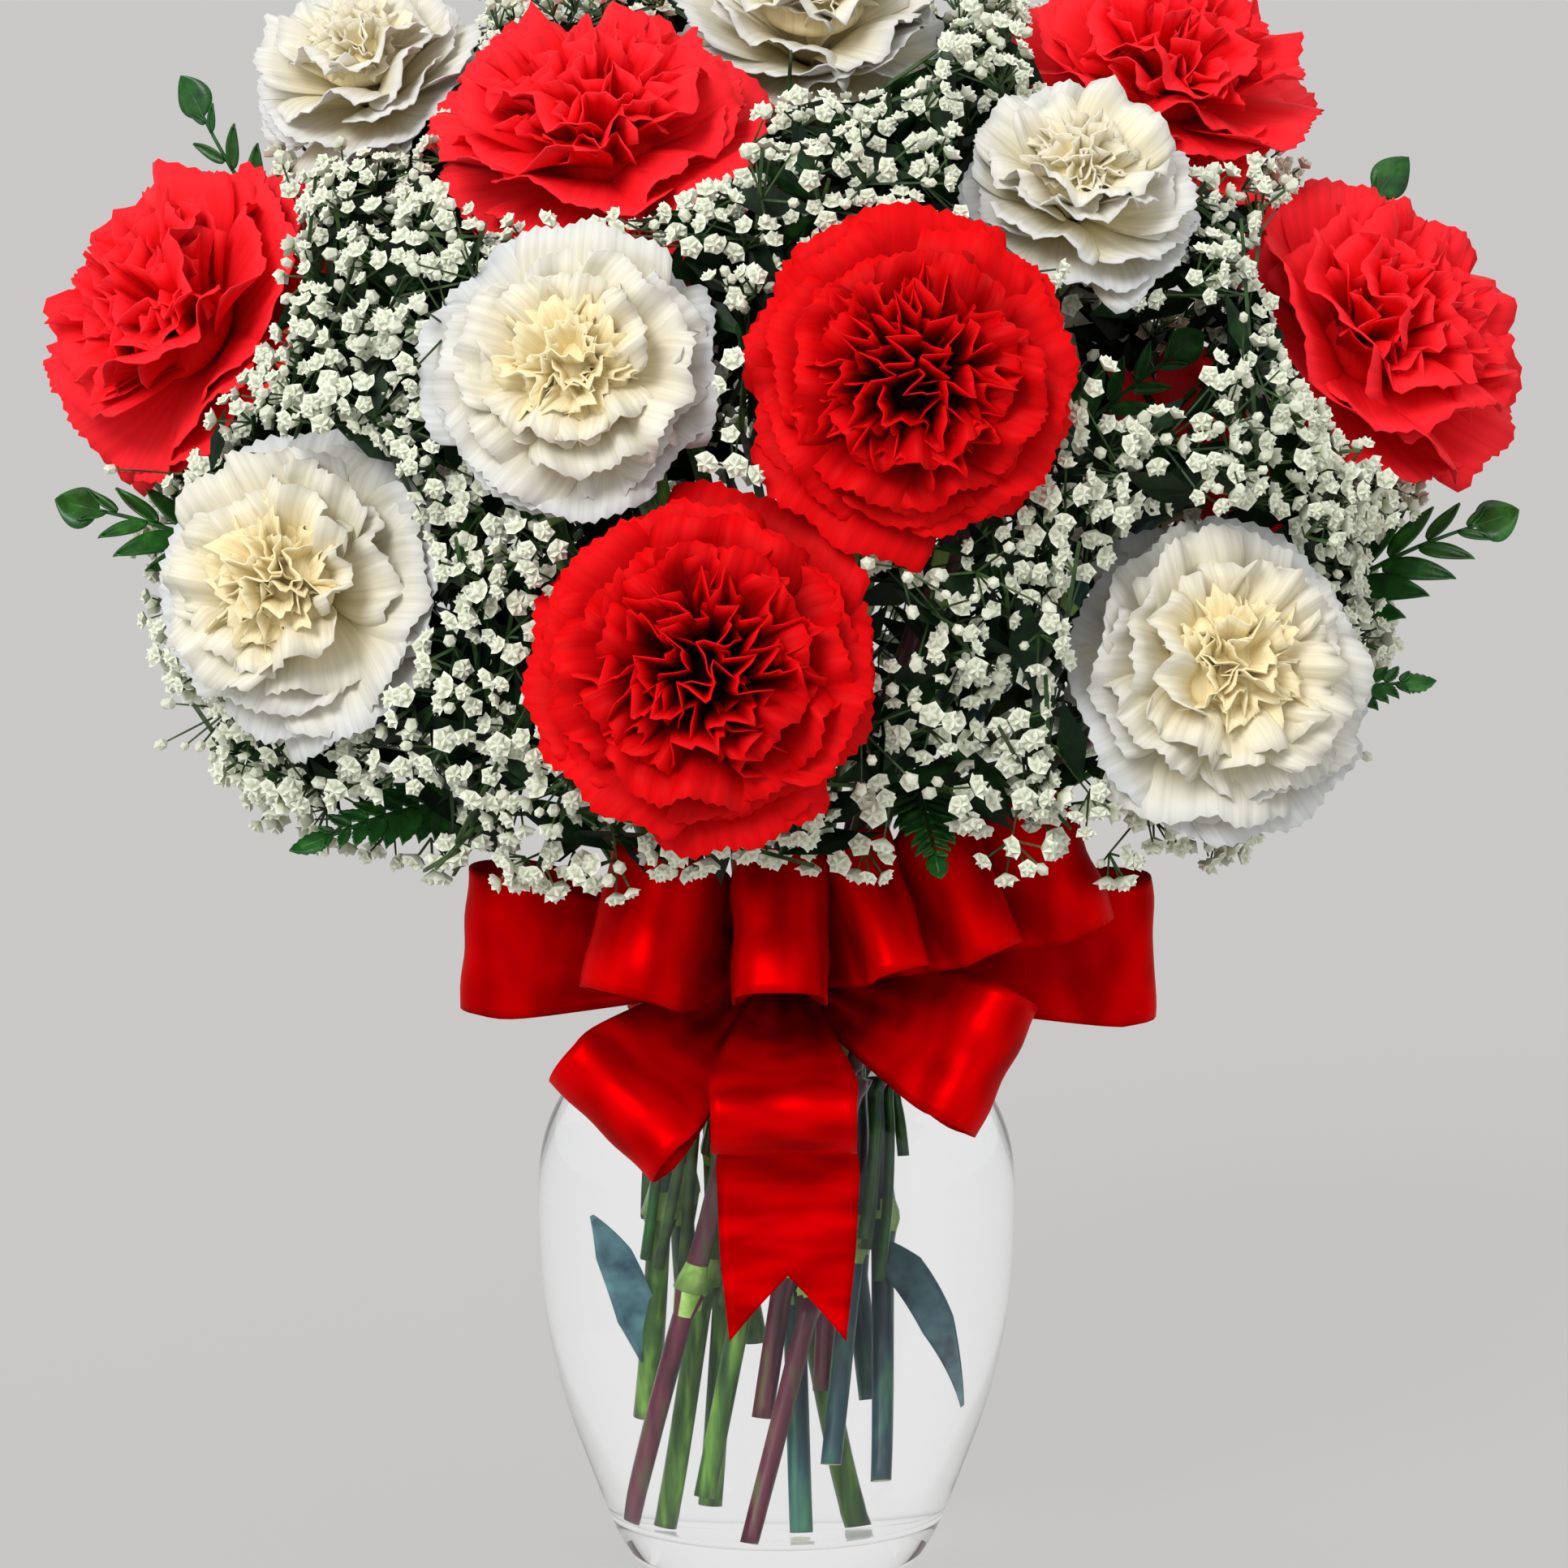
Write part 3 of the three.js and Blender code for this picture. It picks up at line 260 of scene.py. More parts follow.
fern_green = leafy_material(
    "leatherleaf_fern", [(0.3, "#0F3812"), (0.55, "#1C5A1C"), (0.75, "#3A7F2A")], 7, 0.38, 0.2
)
twig_green = leafy_material("gypsophila_twig", [(0.35, "#182E12"), (0.65, "#3E5C2A")], 5, 0.6, 0.05)
# Painted shade: leaves deep inside the baby's breath, near black for the shade there
shaded_leaf = leafy_material(
    "shade_dark_foliage", [(0.3, "#030C05"), (0.52, "#08200A"), (0.72, "#183E12")], 9, 0.5, 0.15, shine=0.2
)
print("stem finishes:", [finish.name for finish in (waxy_stem, blue_stem, mauve_stem)])

# %% [markdown]
# ## Floret, glass and water finishes
# A gypsophila floret is matte white with a faint green throat, so its colour follows the height inside
# the floret, which its mesh carries as along. The hollows of its frill are set greyer on that scale as
# painted shade, and its raised corners paler as painted light. Soda-lime glass is polished by its own melt,
# with an IOR of 1.5, and water has 1.333. Both are clear and take only the tint of what they reflect.

# %% Floret, glass and water materials
def floret_material():
    material, tree = new_material("gypsophila_floret")
    along = add_node(tree, "ShaderNodeAttribute", attribute_name="along")
    colour = add_node(
        tree,
        "ShaderNodeValToRGB",
        {"Fac": along.outputs["Fac"]},
        [(0.05, "#5E7642"), (0.2, "#B4BD94"), (0.5, "#D6DAC6"), (0.85, "#ECEEE0")],
    )
    shader = add_node(
        tree,
        "ShaderNodeBsdfPrincipled",
        {"Base Color": colour.outputs["Color"], "Roughness": 0.75, "IOR": 1.4, "Specular IOR Level": 0.2},
    )
    add_node(tree, "ShaderNodeOutputMaterial", {"Surface": shader.outputs["BSDF"]})
    return material


def clear_material(name, ior, tint):
    material, tree = new_material(name)
    shader = add_node(
        tree,
        "ShaderNodeBsdfPrincipled",
        {
            "Base Color": linear(tint),
            "Roughness": 0.0,
            "IOR": ior,
            "Specular Tint": linear("#8C8C8C"),
            "Transmission Weight": 1.0,
        },
    )
    add_node(tree, "ShaderNodeOutputMaterial", {"Surface": shader.outputs["BSDF"]})
    return material


floret_white = floret_material()
clear_glass = clear_material("soda_lime_glass", 1.5, "#FFFFFF")
clear_water = clear_material("clear_water", 1.333, "#FFFFFF")
print("clear finishes:", clear_glass.name, "and", clear_water.name)

# %% [markdown]
# ## Satin finish
# Satin ribbon has long floating threads: it is glossy but soft, and its fine ribs run across the ribbon,
# about 0.4 mm apart. On the loops they are drawn some 0.7 mm apart so that they show. Near the knot, where
# the ribbon is gathered, its red is painted darker as shade. Soft bands of painted sheen cross it.
# Its highlights are red, not white, so a part of the finish reflects as a tinted metal does.

# %% Satin material
RIBS = 199  # on each strip of the ribbon, and a loop's strip is some 140 mm long
RIB_SCALE = RIBS * 2 * math.pi / 20  # a wave texture has 20 / (2 pi) bands in each unit at a scale of 1
SHEEN_BANDS = (13, 0.8, 1)  # along a strip and across half of it


def satin_material():
    material, tree = new_material("red_satin_ribbon")
    length = add_node(tree, "ShaderNodeAttribute", attribute_name="along")
    across = add_node(tree, "ShaderNodeAttribute", attribute_name="across")
    thread = add_node(
        tree, "ShaderNodeCombineXYZ", {"X": length.outputs["Fac"], "Y": across.outputs["Fac"]}
    )
    ribs = add_node(
        tree,
        "ShaderNodeTexWave",
        {"Vector": thread.outputs[0], "Scale": RIB_SCALE, "Distortion": 0.6, "Detail": 1.0},
        wave_type="BANDS",
        bands_direction="X",
    )
    # Painted shade: the red darkens towards the knot, by the number heart
    knot_shade = add_node(tree, "ShaderNodeAttribute", attribute_name="heart")
    colour = add_node(
        tree,
        "ShaderNodeValToRGB",
        {"Fac": knot_shade.outputs["Fac"]},
        [(0.0, "#D40003"), (0.3, "#C40003"), (0.8, "#800002")],
    )
    # Painted sheen: soft bands, lighter and darker, multiplied into the colour
    drawn_out = add_node(
        tree, "ShaderNodeVectorMath", {0: thread.outputs[0], 1: SHEEN_BANDS}, operation="MULTIPLY"
    )
    bands = add_node(
        tree, "ShaderNodeTexNoise", {"Vector": drawn_out.outputs[0], "Scale": 1.0, "Detail": 1.0}
    )
    shade = add_node(
        tree, "ShaderNodeValToRGB", {"Fac": bands.outputs["Fac"]}, [(0.34, "#C4C4C4"), (0.62, "#FFFFFF")]
    )
    painted_sheen = add_node(
        tree,
        "ShaderNodeMix",
        {"Factor": 1.0, COLOUR_A: colour.outputs["Color"], COLOUR_B: shade.outputs["Color"]},
        **MULTIPLY,
    )
    bump = add_node(
        tree, "ShaderNodeBump", {"Height": ribs.outputs["Fac"], "Strength": 0.12, "Distance": 0.1 * MM}
    )
    shader = add_node(
        tree,
        "ShaderNodeBsdfPrincipled",
        {
            "Base Color": painted_sheen.outputs[COLOUR_OUT],
            "Metallic": 0.4,
            "Roughness": 0.42,
            "IOR": 1.1,
            "Specular Tint": linear("#FF1010"),
            "Normal": bump.outputs["Normal"],
        },
    )
    add_node(tree, "ShaderNodeOutputMaterial", {"Surface": shader.outputs["BSDF"]})
    return material


red_satin = satin_material()
print("satin wave scale:", round(RIB_SCALE, 1))

# %% [markdown]
# ## Helpers for meshes
# Petals, florets and leaflets repeat hundreds of times, each bent its own way. One template of each is
# made with bmesh operators, and its points are then bent by a formula for every copy. Only the bending
# is arithmetic, and the faces stay those that the operator made. Numbers for the materials, such as
# along and across, are stored on the points.

# %% Mesh helpers
def template(make):
    """The points and faces of a small shape that bmesh operators make."""
    bm = bmesh.new()
    make(bm)
    bm.verts.index_update()
    points = np.array([v.co for v in bm.verts], float)
    faces = [[v.index for v in f.verts] for f in bm.faces]
    bm.free()
    return points, faces


def grid_template(columns, rows):
    """A flat sheet: across from -1 to 1 and along from 0 to 1."""
    points, faces = template(
        lambda bm: bmesh.ops.create_grid(bm, x_segments=columns, y_segments=rows, size=1)
    )
    return np.stack([points[:, 0], (points[:, 1] + 1) / 2], axis=1), faces


def add_object(name, mesh, materials):
    for material in materials:
        mesh.materials.append(material)
    piece = bpy.data.objects.new(name, mesh)
    bpy.context.scene.collection.objects.link(piece)
    return piece


def assemble(name, parts, materials, wall=None):
    """One object from bent copies. A part is (places, faces, material index, numbers at the points)."""
    places, faces, indices, numbers = [], [], [], {}
    start = 0
    for copies, shape, index, values in parts:
        count, size = copies.shape[:2]
        places.append(copies.reshape(-1, 3))
        for k in range(count):
            offset = start + k * size
            faces.extend([[i + offset for i in face] for face in shape])
        indices.extend([index] * (count * len(shape)))
        for key in ("along", "across", "heart"):
            value = np.broadcast_to(values.get(key, 0.0), (count, size))
            numbers.setdefault(key, []).append(value.ravel())
        start += count * size
    mesh = bpy.data.meshes.new(name)
    mesh.from_pydata(np.concatenate(places), [], faces)
    mesh.polygons.foreach_set("material_index", indices)
    mesh.polygons.foreach_set("use_smooth", [True] * len(faces))
    for key, lists in numbers.items():
        attribute = mesh.attributes.new(key, "FLOAT", "POINT")
        attribute.data.foreach_set("value", np.concatenate(lists).astype(np.float32))
    mesh.update()
    piece = add_object(name, mesh, materials)
    if wall:
        solidify = piece.modifiers.new("thickness", "SOLIDIFY")
        solidify.thickness = wall
        solidify.offset = 0
    return piece


def dress(piece, slot, *replaced):
    """The piece rides on the object and takes the place of its rough solids. The slot is not used."""
    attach(piece, "root")
    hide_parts(*replaced)
    return piece


def triangles(piece):
    """A piece's triangles. A wall doubles them and adds two for each edge of the sheet's rim."""
    mesh = piece.data
    corners = sum(len(face.vertices) for face in mesh.polygons)
    sheet = corners - 2 * len(mesh.polygons)
    rim_edges = 2 * len(mesh.edges) - corners
    return 2 * sheet + 2 * rim_edges if piece.modifiers else sheet


def unit(vectors):
    return vectors / np.maximum(np.linalg.norm(vectors, axis=-1, keepdims=True), 1e-12)


def square_to(directions):
    """Two directions square to each given one."""
    slanted = np.abs(directions[..., 2:]) < 0.9
    side = unit(np.cross(np.where(slanted, [0, 0, 1.0], [1.0, 0, 0]), directions))
    return side, np.cross(directions, side)


print("square to straight up:", [side.tolist() for side in square_to(np.array([0, 0, 1.0]))])

# %% [markdown]
# ## Reading the rough solids
# Each rough stem is a bar made of rings of corners. Starting from one end and stepping from each ring to
# the next along the edges gives the middle of every ring, which is the stem's line. The line then tells
# where its bloom sits and which way it faces, so no table of places is needed here. A carnation's stem is
# read from its calyx down, because a leaf may grow near its foot and break a ring there.

# %% Lines of the rough stems
ROUGH_STEM_SIDES = 5
ROUGH_STALK_SIDES = 4  # of the sprays and fronds


def read_solid(node):
    """A copy of a rough solid's mesh, with its loose triangles joined."""
    bm = bmesh.new()
    bm.from_mesh(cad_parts[node].data)
    bmesh.ops.remove_doubles(bm, verts=bm.verts, dist=1e-6)
    bm.verts.index_update()
    return bm


def step_out(start, size=None):
    """Rings of vertices, each next to the last, for as long as each has that size."""
    seen, rings = set(start), [list(start)]
    while True:
        found = {edge.other_vert(vert) for vert in rings[-1] for edge in vert.link_edges} - seen
        if not found or size and len(found) != size:
            return rings
        seen |= found
        # A set has no order of its own, and the sums over a ring would differ a little from run to run
        rings.append(sorted(found, key=lambda vert: vert.index))


def middle(ring):
    return sum((v.co for v in ring), Vector()) / len(ring)


def cut_ring(bm, sides):
    """The corners of a stem's cut end, which stands lowest."""
    return sorted(bm.verts, key=lambda v: v.co.z)[:sides]


def stalk_line(bm):
    """Points from the cut end upwards, as far as the rings keep their four corners."""
    rings = step_out(cut_ring(bm, ROUGH_STALK_SIDES), ROUGH_STALK_SIDES)
    return [np.array(middle(ring)) for ring in rings]


def carnation_line(node):
    """Points from the cut end up to the calyx's mouth."""
    bm = read_solid(node)
    lowest = cut_ring(bm, ROUGH_STEM_SIDES)
    mouth = step_out(lowest)[-1]
    down = [middle(ring) for ring in step_out(mouth, ROUGH_STEM_SIDES)]
    bottom = middle(lowest)
    bm.free()
    if (down[-1] - bottom).length > 1 * MM:
        down.append(bottom)
    return down[::-1]


lines = {name: carnation_line("stem_" + name) for name in bloom_names}
print({name: len(line) for name, line in lines.items()})

# %% [markdown]
# ## Seats of the blooms
# A bloom faces the way its calyx points, and its middle lies a little in front of the calyx's mouth. The
# rough bloom gives its radius: how far its petals reach from that axis.

# %% Where each bloom sits
MOUTH_DROP = 0.34  # how far the calyx's mouth lies behind the bloom's middle, in bloom radii
ROUGH_REACH = 1.01  # how far the rough petals reach from the axis, in bloom radii


def bloom_seat(name):
    line = lines[name]
    mouth, face = np.array(line[-1]), unit(np.array(line[-1] - line[-2]))
    bm = read_solid("bloom_" + name)
    points = np.array([v.co for v in bm.verts])
    bm.free()
    from_mouth = points - mouth
    height = from_mouth @ face
    radius = np.linalg.norm(from_mouth - height[:, None] * face, axis=1).max() / ROUGH_REACH
    return {"name": name, "middle": mouth + MOUTH_DROP * radius * face, "face": face, "radius": radius}


seats = [bloom_seat(name) for name in bloom_names]
print("bloom radii, mm:", [round(s["radius"] / MM, 1) for s in seats])

# %% [markdown]
# ## Carnation blooms
# A carnation is a packed bundle of fan-shaped petals, 40 to 60 in all. Each has a narrow claw deep in the
# calyx, widens into a fan, and ends in a toothed, ruffled edge. The outer ones lie almost flat, the next
# rise more and more, and the heart is a tight crumple. It could be sculpted, or grown as one ruffled
# surface, but separate petals give the true overlaps and edges. So a petal is a grid whose middle line is
# a curve from the claw out to the edge, whose sides follow a fan, and whose ruffles are waves that grow
# towards the edge. Two kinds are needed: full blooms that face the viewer, and looser ones with broad,
# smooth petals. All lengths here are in bloom radii, with +Z where the bloom faces.

# %% Petal layers
CLAW = (0.07, -MOUTH_DROP)  # a petal's foot: out from the axis, and its height
PETAL_FACTS = ("count", "reach", "rise", "width", "lift", "belly", "ruffle", "waves", "uneven")
FULL = [
    (7, 1.02, -0.04, 0.56, 0.60, 0.42, 0.035, 1.1, 0.09),
    (7, 0.93, 0.09, 0.50, 0.70, 0.42, 0.050, 1.4, 0.10),
    (6, 0.78, 0.25, 0.42, 0.85, 0.40, 0.080, 1.7, 0.10),
    (6, 0.62, 0.38, 0.34, 0.95, 0.38, 0.100, 1.9, 0.11),
]
LOOSE = [
    (6, 1.04, -0.16, 0.58, 0.50, 0.46, 0.050, 0.9, 0.13),
    (6, 0.96, 0.06, 0.54, 0.60, 0.44, 0.060, 1.1, 0.13),
    (5, 0.84, 0.25, 0.48, 0.80, 0.40, 0.080, 1.3, 0.13),
    (5, 0.64, 0.41, 0.40, 0.90, 0.38, 0.090, 1.5, 0.13),
]
FULL_BLOOMS = ("red_low_front", "red_mid_front", "white_mid_front", "white_low_left", "white_low_right")
PETAL_THICKNESS = 0.35 * MM
PLEATS = {"red": 0.006, "white": 0.012}
CORNER_DROP = 0.16  # how far a petal's corners fall short of its edge's middle
TOOTH_DEPTH = 0.017
LOBE_DEPTH = 0.022
outer_uv, outer_faces = grid_template(26, 7)
plain_uv, plain_faces = grid_template(18, 6)  # for the inner petals, and for all petals at the back
heart_uv, heart_faces = grid_template(14, 6)


def toothed(uv, random):
    """How far up the petal each point lies: rounded corners, slow lobes, a tooth for every two columns."""
    across, along = uv[:, 0], uv[:, 1]
    columns = np.round((across + 1) * (len(set(across)) - 1) / 2).astype(int)
    teeth = random.uniform(0.2, 1.0, 40)[columns] * (columns % 2 * 2 - 1)
    lobes = np.sin(np.pi * random.uniform(1.2, 2.6) * across + random.uniform(0, 6.3))
    rounded = along * (1 - CORNER_DROP * np.abs(across) ** 2.5)
    return rounded + (TOOTH_DEPTH * teeth + LOBE_DEPTH * lobes) * along**8


def arc_weights(share):
    """How much each of a curve's three control points counts at a share of its length."""
    return np.stack([(1 - share) ** 2, 2 * share * (1 - share), share**2], axis=1)


def turned_round(out, over, height, angle):
    """Points out from the axis and over to the side, turned round the axis."""
    x = out * np.cos(angle) - over * np.sin(angle)
    y = out * np.sin(angle) + over * np.cos(angle)
    return np.stack([x, y, height], axis=1)


def petal_points(uv, layer, angle, pleats, random):
    across, along = uv[:, 0], uv[:, 1]
    reach = layer["reach"] * (1 + layer["uneven"] * random.uniform(-1.2, 0.8))
    rise = layer["rise"] + 1.2 * layer["uneven"] * random.uniform(-1, 1)
    s = toothed(uv, random)
    # The middle line is a curve with three control points, as distance from the axis and height
    belly = (layer["belly"] * reach, CLAW[1] + layer["lift"] * (rise - CLAW[1]))
    points = np.array([CLAW, belly, (reach, rise)])
    slope = np.stack([-2 * (1 - s), 2 - 4 * s, 2 * s], axis=1)
    line, heading = arc_weights(s) @ points, unit(slope @ points)
    fan = 0.12 + 0.88 * np.sin(np.pi / 2 * np.clip(along * 1.1, 0, 1)) ** 1.2
    side = across * layer["width"] * random.uniform(0.85, 1.15) * fan
    # Ruffles grow towards the edge: a slow wave, a quicker one and fine pleats
    phase = random.uniform(0, 2 * np.pi, 3)
    slow = np.sin(np.pi * layer["waves"] * across + phase[0] + 1.4 * along)
    quick = np.sin(np.pi * layer["waves"] * 2.3 * across + phase[1])
    pleat = np.sin(np.pi * 7.5 * across + phase[2])
    off = layer["ruffle"] * (along**1.4 * slow + 0.45 * along**3 * quick) + pleats * along**2 * pleat
    off = off + random.uniform(-0.3, 0.3) * side * along + random.uniform(-0.5, 0.2) * side**2
    radial = line[:, 0] - heading[:, 1] * off
    height = line[:, 1] + heading[:, 0] * off
    return turned_round(radial, side, height, angle)


for kind, rows in (("full", FULL), ("loose", LOOSE)):
    print("petals in the layers of a", kind, "bloom:", [row[0] for row in rows])

# %% [markdown]
# ## Heart of a bloom
# The innermost petals haven't opened: they stand upright, small and folded back and forth, turned every
# way. They could be modelled as one crumpled ball, but folded sheets let the dark gaps between them show.
# They follow a sunflower's spiral, which fills a round area evenly with no rows. A rounded core below
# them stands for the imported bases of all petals.

# %% Petals of the heart
GOLDEN_TURN = math.pi * (3 - math.sqrt(5))
HEART_FACTS = ("count", "spread", "top", "foot", "width", "curl", "folds")
HEARTS = {
    "red": (26, 0.50, 0.62, -0.20, 0.20, 0.085, 1.7),
    "white": (24, 0.36, 0.60, 0.10, 0.20, 0.08, 1.25),
}
CORES = {"red": (-0.12, 0.34, 0.16), "white": (0.14, 0.38, 0.17)}  # middle's height, half width and height
core_points, core_faces = template(
    lambda bm: bmesh.ops.create_uvsphere(bm, u_segments=20, v_segments=10, radius=1)
)


def heart_points(uv, heart, angle, share, random):
    """A small petal that stands at a share of the spiral, folded, and turned any way."""
    across, along = uv[:, 0], uv[:, 1]
    s = toothed(uv, random)
    spread = heart["spread"] * np.sqrt(share)
    top = heart["top"] - 0.26 * share + random.uniform(-0.08, 0.05)
    turned = random.normal(0, 0.6)
    half = heart["width"] * random.uniform(0.7, 1.25) * (0.35 + 0.65 * along)
    phase = random.uniform(0, 2 * np.pi, 2)
    folds = heart["folds"] * random.uniform(0.7, 1.3)
    fold = heart["curl"] * along * np.sin(np.pi * folds * across + phase[0])
    fold = fold + 0.4 * heart["curl"] * along**2 * np.sin(np.pi * 4.2 * across + phase[1])
    x = across * half
    y = fold + 0.3 * spread * along**3
    out = spread * (0.35 + 0.65 * along) + y * np.cos(turned) - x * np.sin(turned)
    over = x * np.cos(turned) + y * np.sin(turned)
    height = heart["foot"] + (top - heart["foot"]) * s - 0.08 * across**2 * along
    return turned_round(out, over, height, angle)


print("petals in a heart:", {colour: facts[0] for colour, facts in HEARTS.items()})

# %% [markdown]
# ## Putting a bloom together
# A bloom is four layers of petals, its heart and its core, all placed on its seat and joined to one mesh.
# The number heart rises from layer to layer. On a red bloom it is painted shade, darker towards the heart,
# and on a white one it mixes in cream. It fades towards the edge of a red petal, whose rim stays bright
# even inside, and by about half on the loose white blooms, which are only faintly cream. The three outer
# layers get the fine grid, and the blooms at the back do with the plain one.

# %% Bloom builder
LOOSE_FADE = 0.45
# On red the heart's colour is painted shade; on white it is cream
LAYER_SHARE = 0.15  # how much nearer to the heart's colour each layer is than the one outside it
CORE_SHADE = 0.62  # where along a petal the core takes its colour


def petal_finish(name):
    if name.startswith("white"):
        return white_petal
    return red_petal if name in FULL_BLOOMS else bright_petal


def build_bloom(seat, seed):
    random = np.random.default_rng(seed)
    name = seat["name"]
    colour = name.split("_")[0]
    layers = [dict(zip(PETAL_FACTS, row)) for row in (FULL if name in FULL_BLOOMS else LOOSE)]
    first, second = square_to(seat["face"])
    turn = np.stack([first, second, seat["face"]])

    def placed(copies):
        return seat["middle"] + seat["radius"] * (np.array(copies) @ turn)

    # Heart is painted shade on red, faded out towards each petal's edge, and cream on white
    def numbers(uv, inward):
        white_fade = 0.0 if name in FULL_BLOOMS else LOOSE_FADE
        fade = uv[:, 1] ** 4 if colour == "red" else white_fade
        return {"along": uv[:, 1], "across": uv[:, 0], "heart": inward * (1 - fade)}

    parts = []
    for i, layer in enumerate(layers):
        fine = i < 3 and "back" not in name
        uv, faces = (outer_uv, outer_faces) if fine else (plain_uv, plain_faces)
        turns = np.arange(layer["count"]) + random.uniform(-0.25, 0.25, layer["count"]) + random.uniform()
        angles = 2 * np.pi * turns / layer["count"]
        copies = [petal_points(uv, layer, angle, PLEATS[colour], random) for angle in angles]
        parts.append((placed(copies), faces, 0, numbers(uv, LAYER_SHARE * i)))
    heart = dict(zip(HEART_FACTS, HEARTS[colour]))
    shares = (np.arange(heart["count"]) + 0.3) / heart["count"]
    copies = [heart_points(heart_uv, heart, GOLDEN_TURN * k, s, random) for k, s in enumerate(shares)]
    parts.append((placed(copies), heart_faces, 0, numbers(heart_uv, 1.0)))
    middle_height, half_width, half_height = CORES[colour]
    core = core_points * [half_width, half_width, half_height] + [0, 0, middle_height]
    # The core takes the full heart value: painted shade in a red bloom, cream in a white one
    core_numbers = {"along": CORE_SHADE, "across": core_points[:, 0], "heart": 1.0}
    parts.append((placed([core]), core_faces, 0, core_numbers))
    piece = assemble("petals_" + name, parts, [petal_finish(name)], PETAL_THICKNESS)
    return dress(piece, colour + "_petals", "bloom_" + name)


blooms = [build_bloom(seat, 100 + 7 * i) for i, seat in enumerate(seats)]
counts = [triangles(b) for b in blooms]
print("blooms:", sum(counts), "triangles, most", max(counts))

# %% [markdown]
# ## Stems
# A carnation stem is a round green bar with swollen joints, each wrapped by the sheath of a pair of
# leaves, and its top swells into the calyx, a green tube with five teeth. A curve with a bevel would give
# the bar, but not its changes of thickness at exact places, so each stem is a circle that is extruded
# from place to place along the rough stem's line and fitted to each place.

# %% Stem helper
def smooth_line(points, step):
    """Points along a rounded line through the given ones, about one step apart."""
    points = [np.array(p) for p in points]
    ahead = [2 * points[0] - points[1], *points, 2 * points[-1] - points[-2]]
    line = []
    for a, b, c, d in zip(ahead, ahead[1:], ahead[2:], ahead[3:]):
        count = max(1, round(np.linalg.norm(c - b) / step))
        for t in np.arange(count) / count:
            bend = (2 * a - 5 * b + 4 * c - d) * t**2 + (3 * b - a - 3 * c + d) * t**3
            line.append(0.5 * (2 * b + (c - a) * t + bend))
    return np.array([*line, points[-1]])


def bar(bm, line, radii, sides, material=0):
    """A round bar: a capped circle, extruded from point to point of the line and fitted to each."""
    heading = unit(np.gradient(line, axis=0))
    side = square_to(heading[0])[0]
    turns = 2 * np.pi * np.arange(sides)[:, None] / sides
    end = bmesh.ops.create_circle(bm, cap_ends=True, segments=sides, radius=1)["verts"][0].link_faces[0]
    corners = []
    for place, way, radius in zip(line, heading, radii):
        if corners:
            grown = bmesh.ops.extrude_face_region(bm, geom=[end, *end.edges])["geom"]
            end = next(part for part in grown if isinstance(part, bmesh.types.BMFace))
        side = unit(side - (side @ way) * way)
        ring = place + radius * (np.cos(turns) * side + np.sin(turns) * np.cross(way, side))
        for vert, spot in zip(end.verts, ring):
            vert.co = spot
        corners.extend(end.verts)
    for face in {face for vert in corners for face in vert.link_faces}:
        face.material_index = material


def finish_mesh(name, bm, materials):
    """An object from the bmesh, smooth, with its faces turned outwards."""
    bmesh.ops.recalc_face_normals(bm, faces=bm.faces)
    for face in bm.faces:
        face.smooth = True
    mesh = bpy.data.meshes.new(name)
    bm.to_mesh(mesh)
    bm.free()
    return add_object(name, mesh, materials)


def thin_stem(name, line, radii, material):
    """The stem of a spray or a frond."""
    bm = bmesh.new()
    bar(bm, line, radii, 6)
    return finish_mesh(name, bm, [material])


print("points 3 mm apart on the first stem:", len(smooth_line(lines[bloom_names[0]], 3 * MM)))

# %% [markdown]
# ## Joints and calyx of a carnation stem
# The joints lie some 47 mm apart, counted from the one that the rough stem shows. A bell-shaped swelling
# adds each one's thickness, and the sheath above it thins out over 14 mm. The calyx is a second bar round
# the same line, and its teeth are cones that lean out from just inside its mouth.

# %% Carnation stems
STEM_RADIUS = 2.4 * MM
STEM_SIDES = 10
JOINT_RADIUS = 3.7 * MM
JOINT_HALF = 3 * MM  # from a joint's middle to where little of its swelling is left
JOINTS = np.array([0, 48, 95, 140, 185]) * MM  # along the stem, from its lowest joint
JOINT_GREEN = 0.45  # a joint has its own green where its swelling is stronger than this
SHEATH = 14 * MM
SHEATH_THICKNESS = 0.3 * MM
# How far up the calyx, and its radius there in mm
CALYX = [(0.0, 2.6), (0.1, 3.6), (0.3, 5.0), (0.6, 5.9), (0.85, 6.2), (1.0, 6.4)]
TOOTH = 5 * MM
TOOTH_RADII = (2.2 * MM, 0.2 * MM)
TOOTH_BASE = (4.6 * MM, -3.2 * MM)  # out from the calyx's axis, and up from its mouth


def build_stalk(bm, rough):
    """The stem below the calyx, with a green of its own on its joints and a pale cut end."""
    whole = smooth_line(rough[:-2], 3 * MM)
    length = np.concatenate([[0], np.cumsum(np.linalg.norm(np.diff(whole, axis=0), axis=1))])
    lowest = length[np.argmin(np.linalg.norm(whole - rough[2], axis=1))]  # the rough joint's widest ring
    off = length[:, None] - lowest - JOINTS
    swell = np.exp(-((off / JOINT_HALF) ** 2)).sum(axis=1)
    sheath = np.where((off > 0) & (off < SHEATH), 1 - off / SHEATH, 0).sum(axis=1)
    radii = STEM_RADIUS + (JOINT_RADIUS - STEM_RADIUS) * np.clip(swell, 0, 1) + SHEATH_THICKNESS * sheath
    bar(bm, whole, radii, STEM_SIDES)
    for face in bm.faces:
        spot = np.argmin(np.linalg.norm(whole - np.array(face.calc_center_median()), axis=1))
        face.material_index = 2 if swell[spot] > JOINT_GREEN else 0
    ends = [face for face in bm.faces if len(face.verts) == STEM_SIDES]
    min(ends, key=lambda face: face.calc_center_median().z).material_index = 3


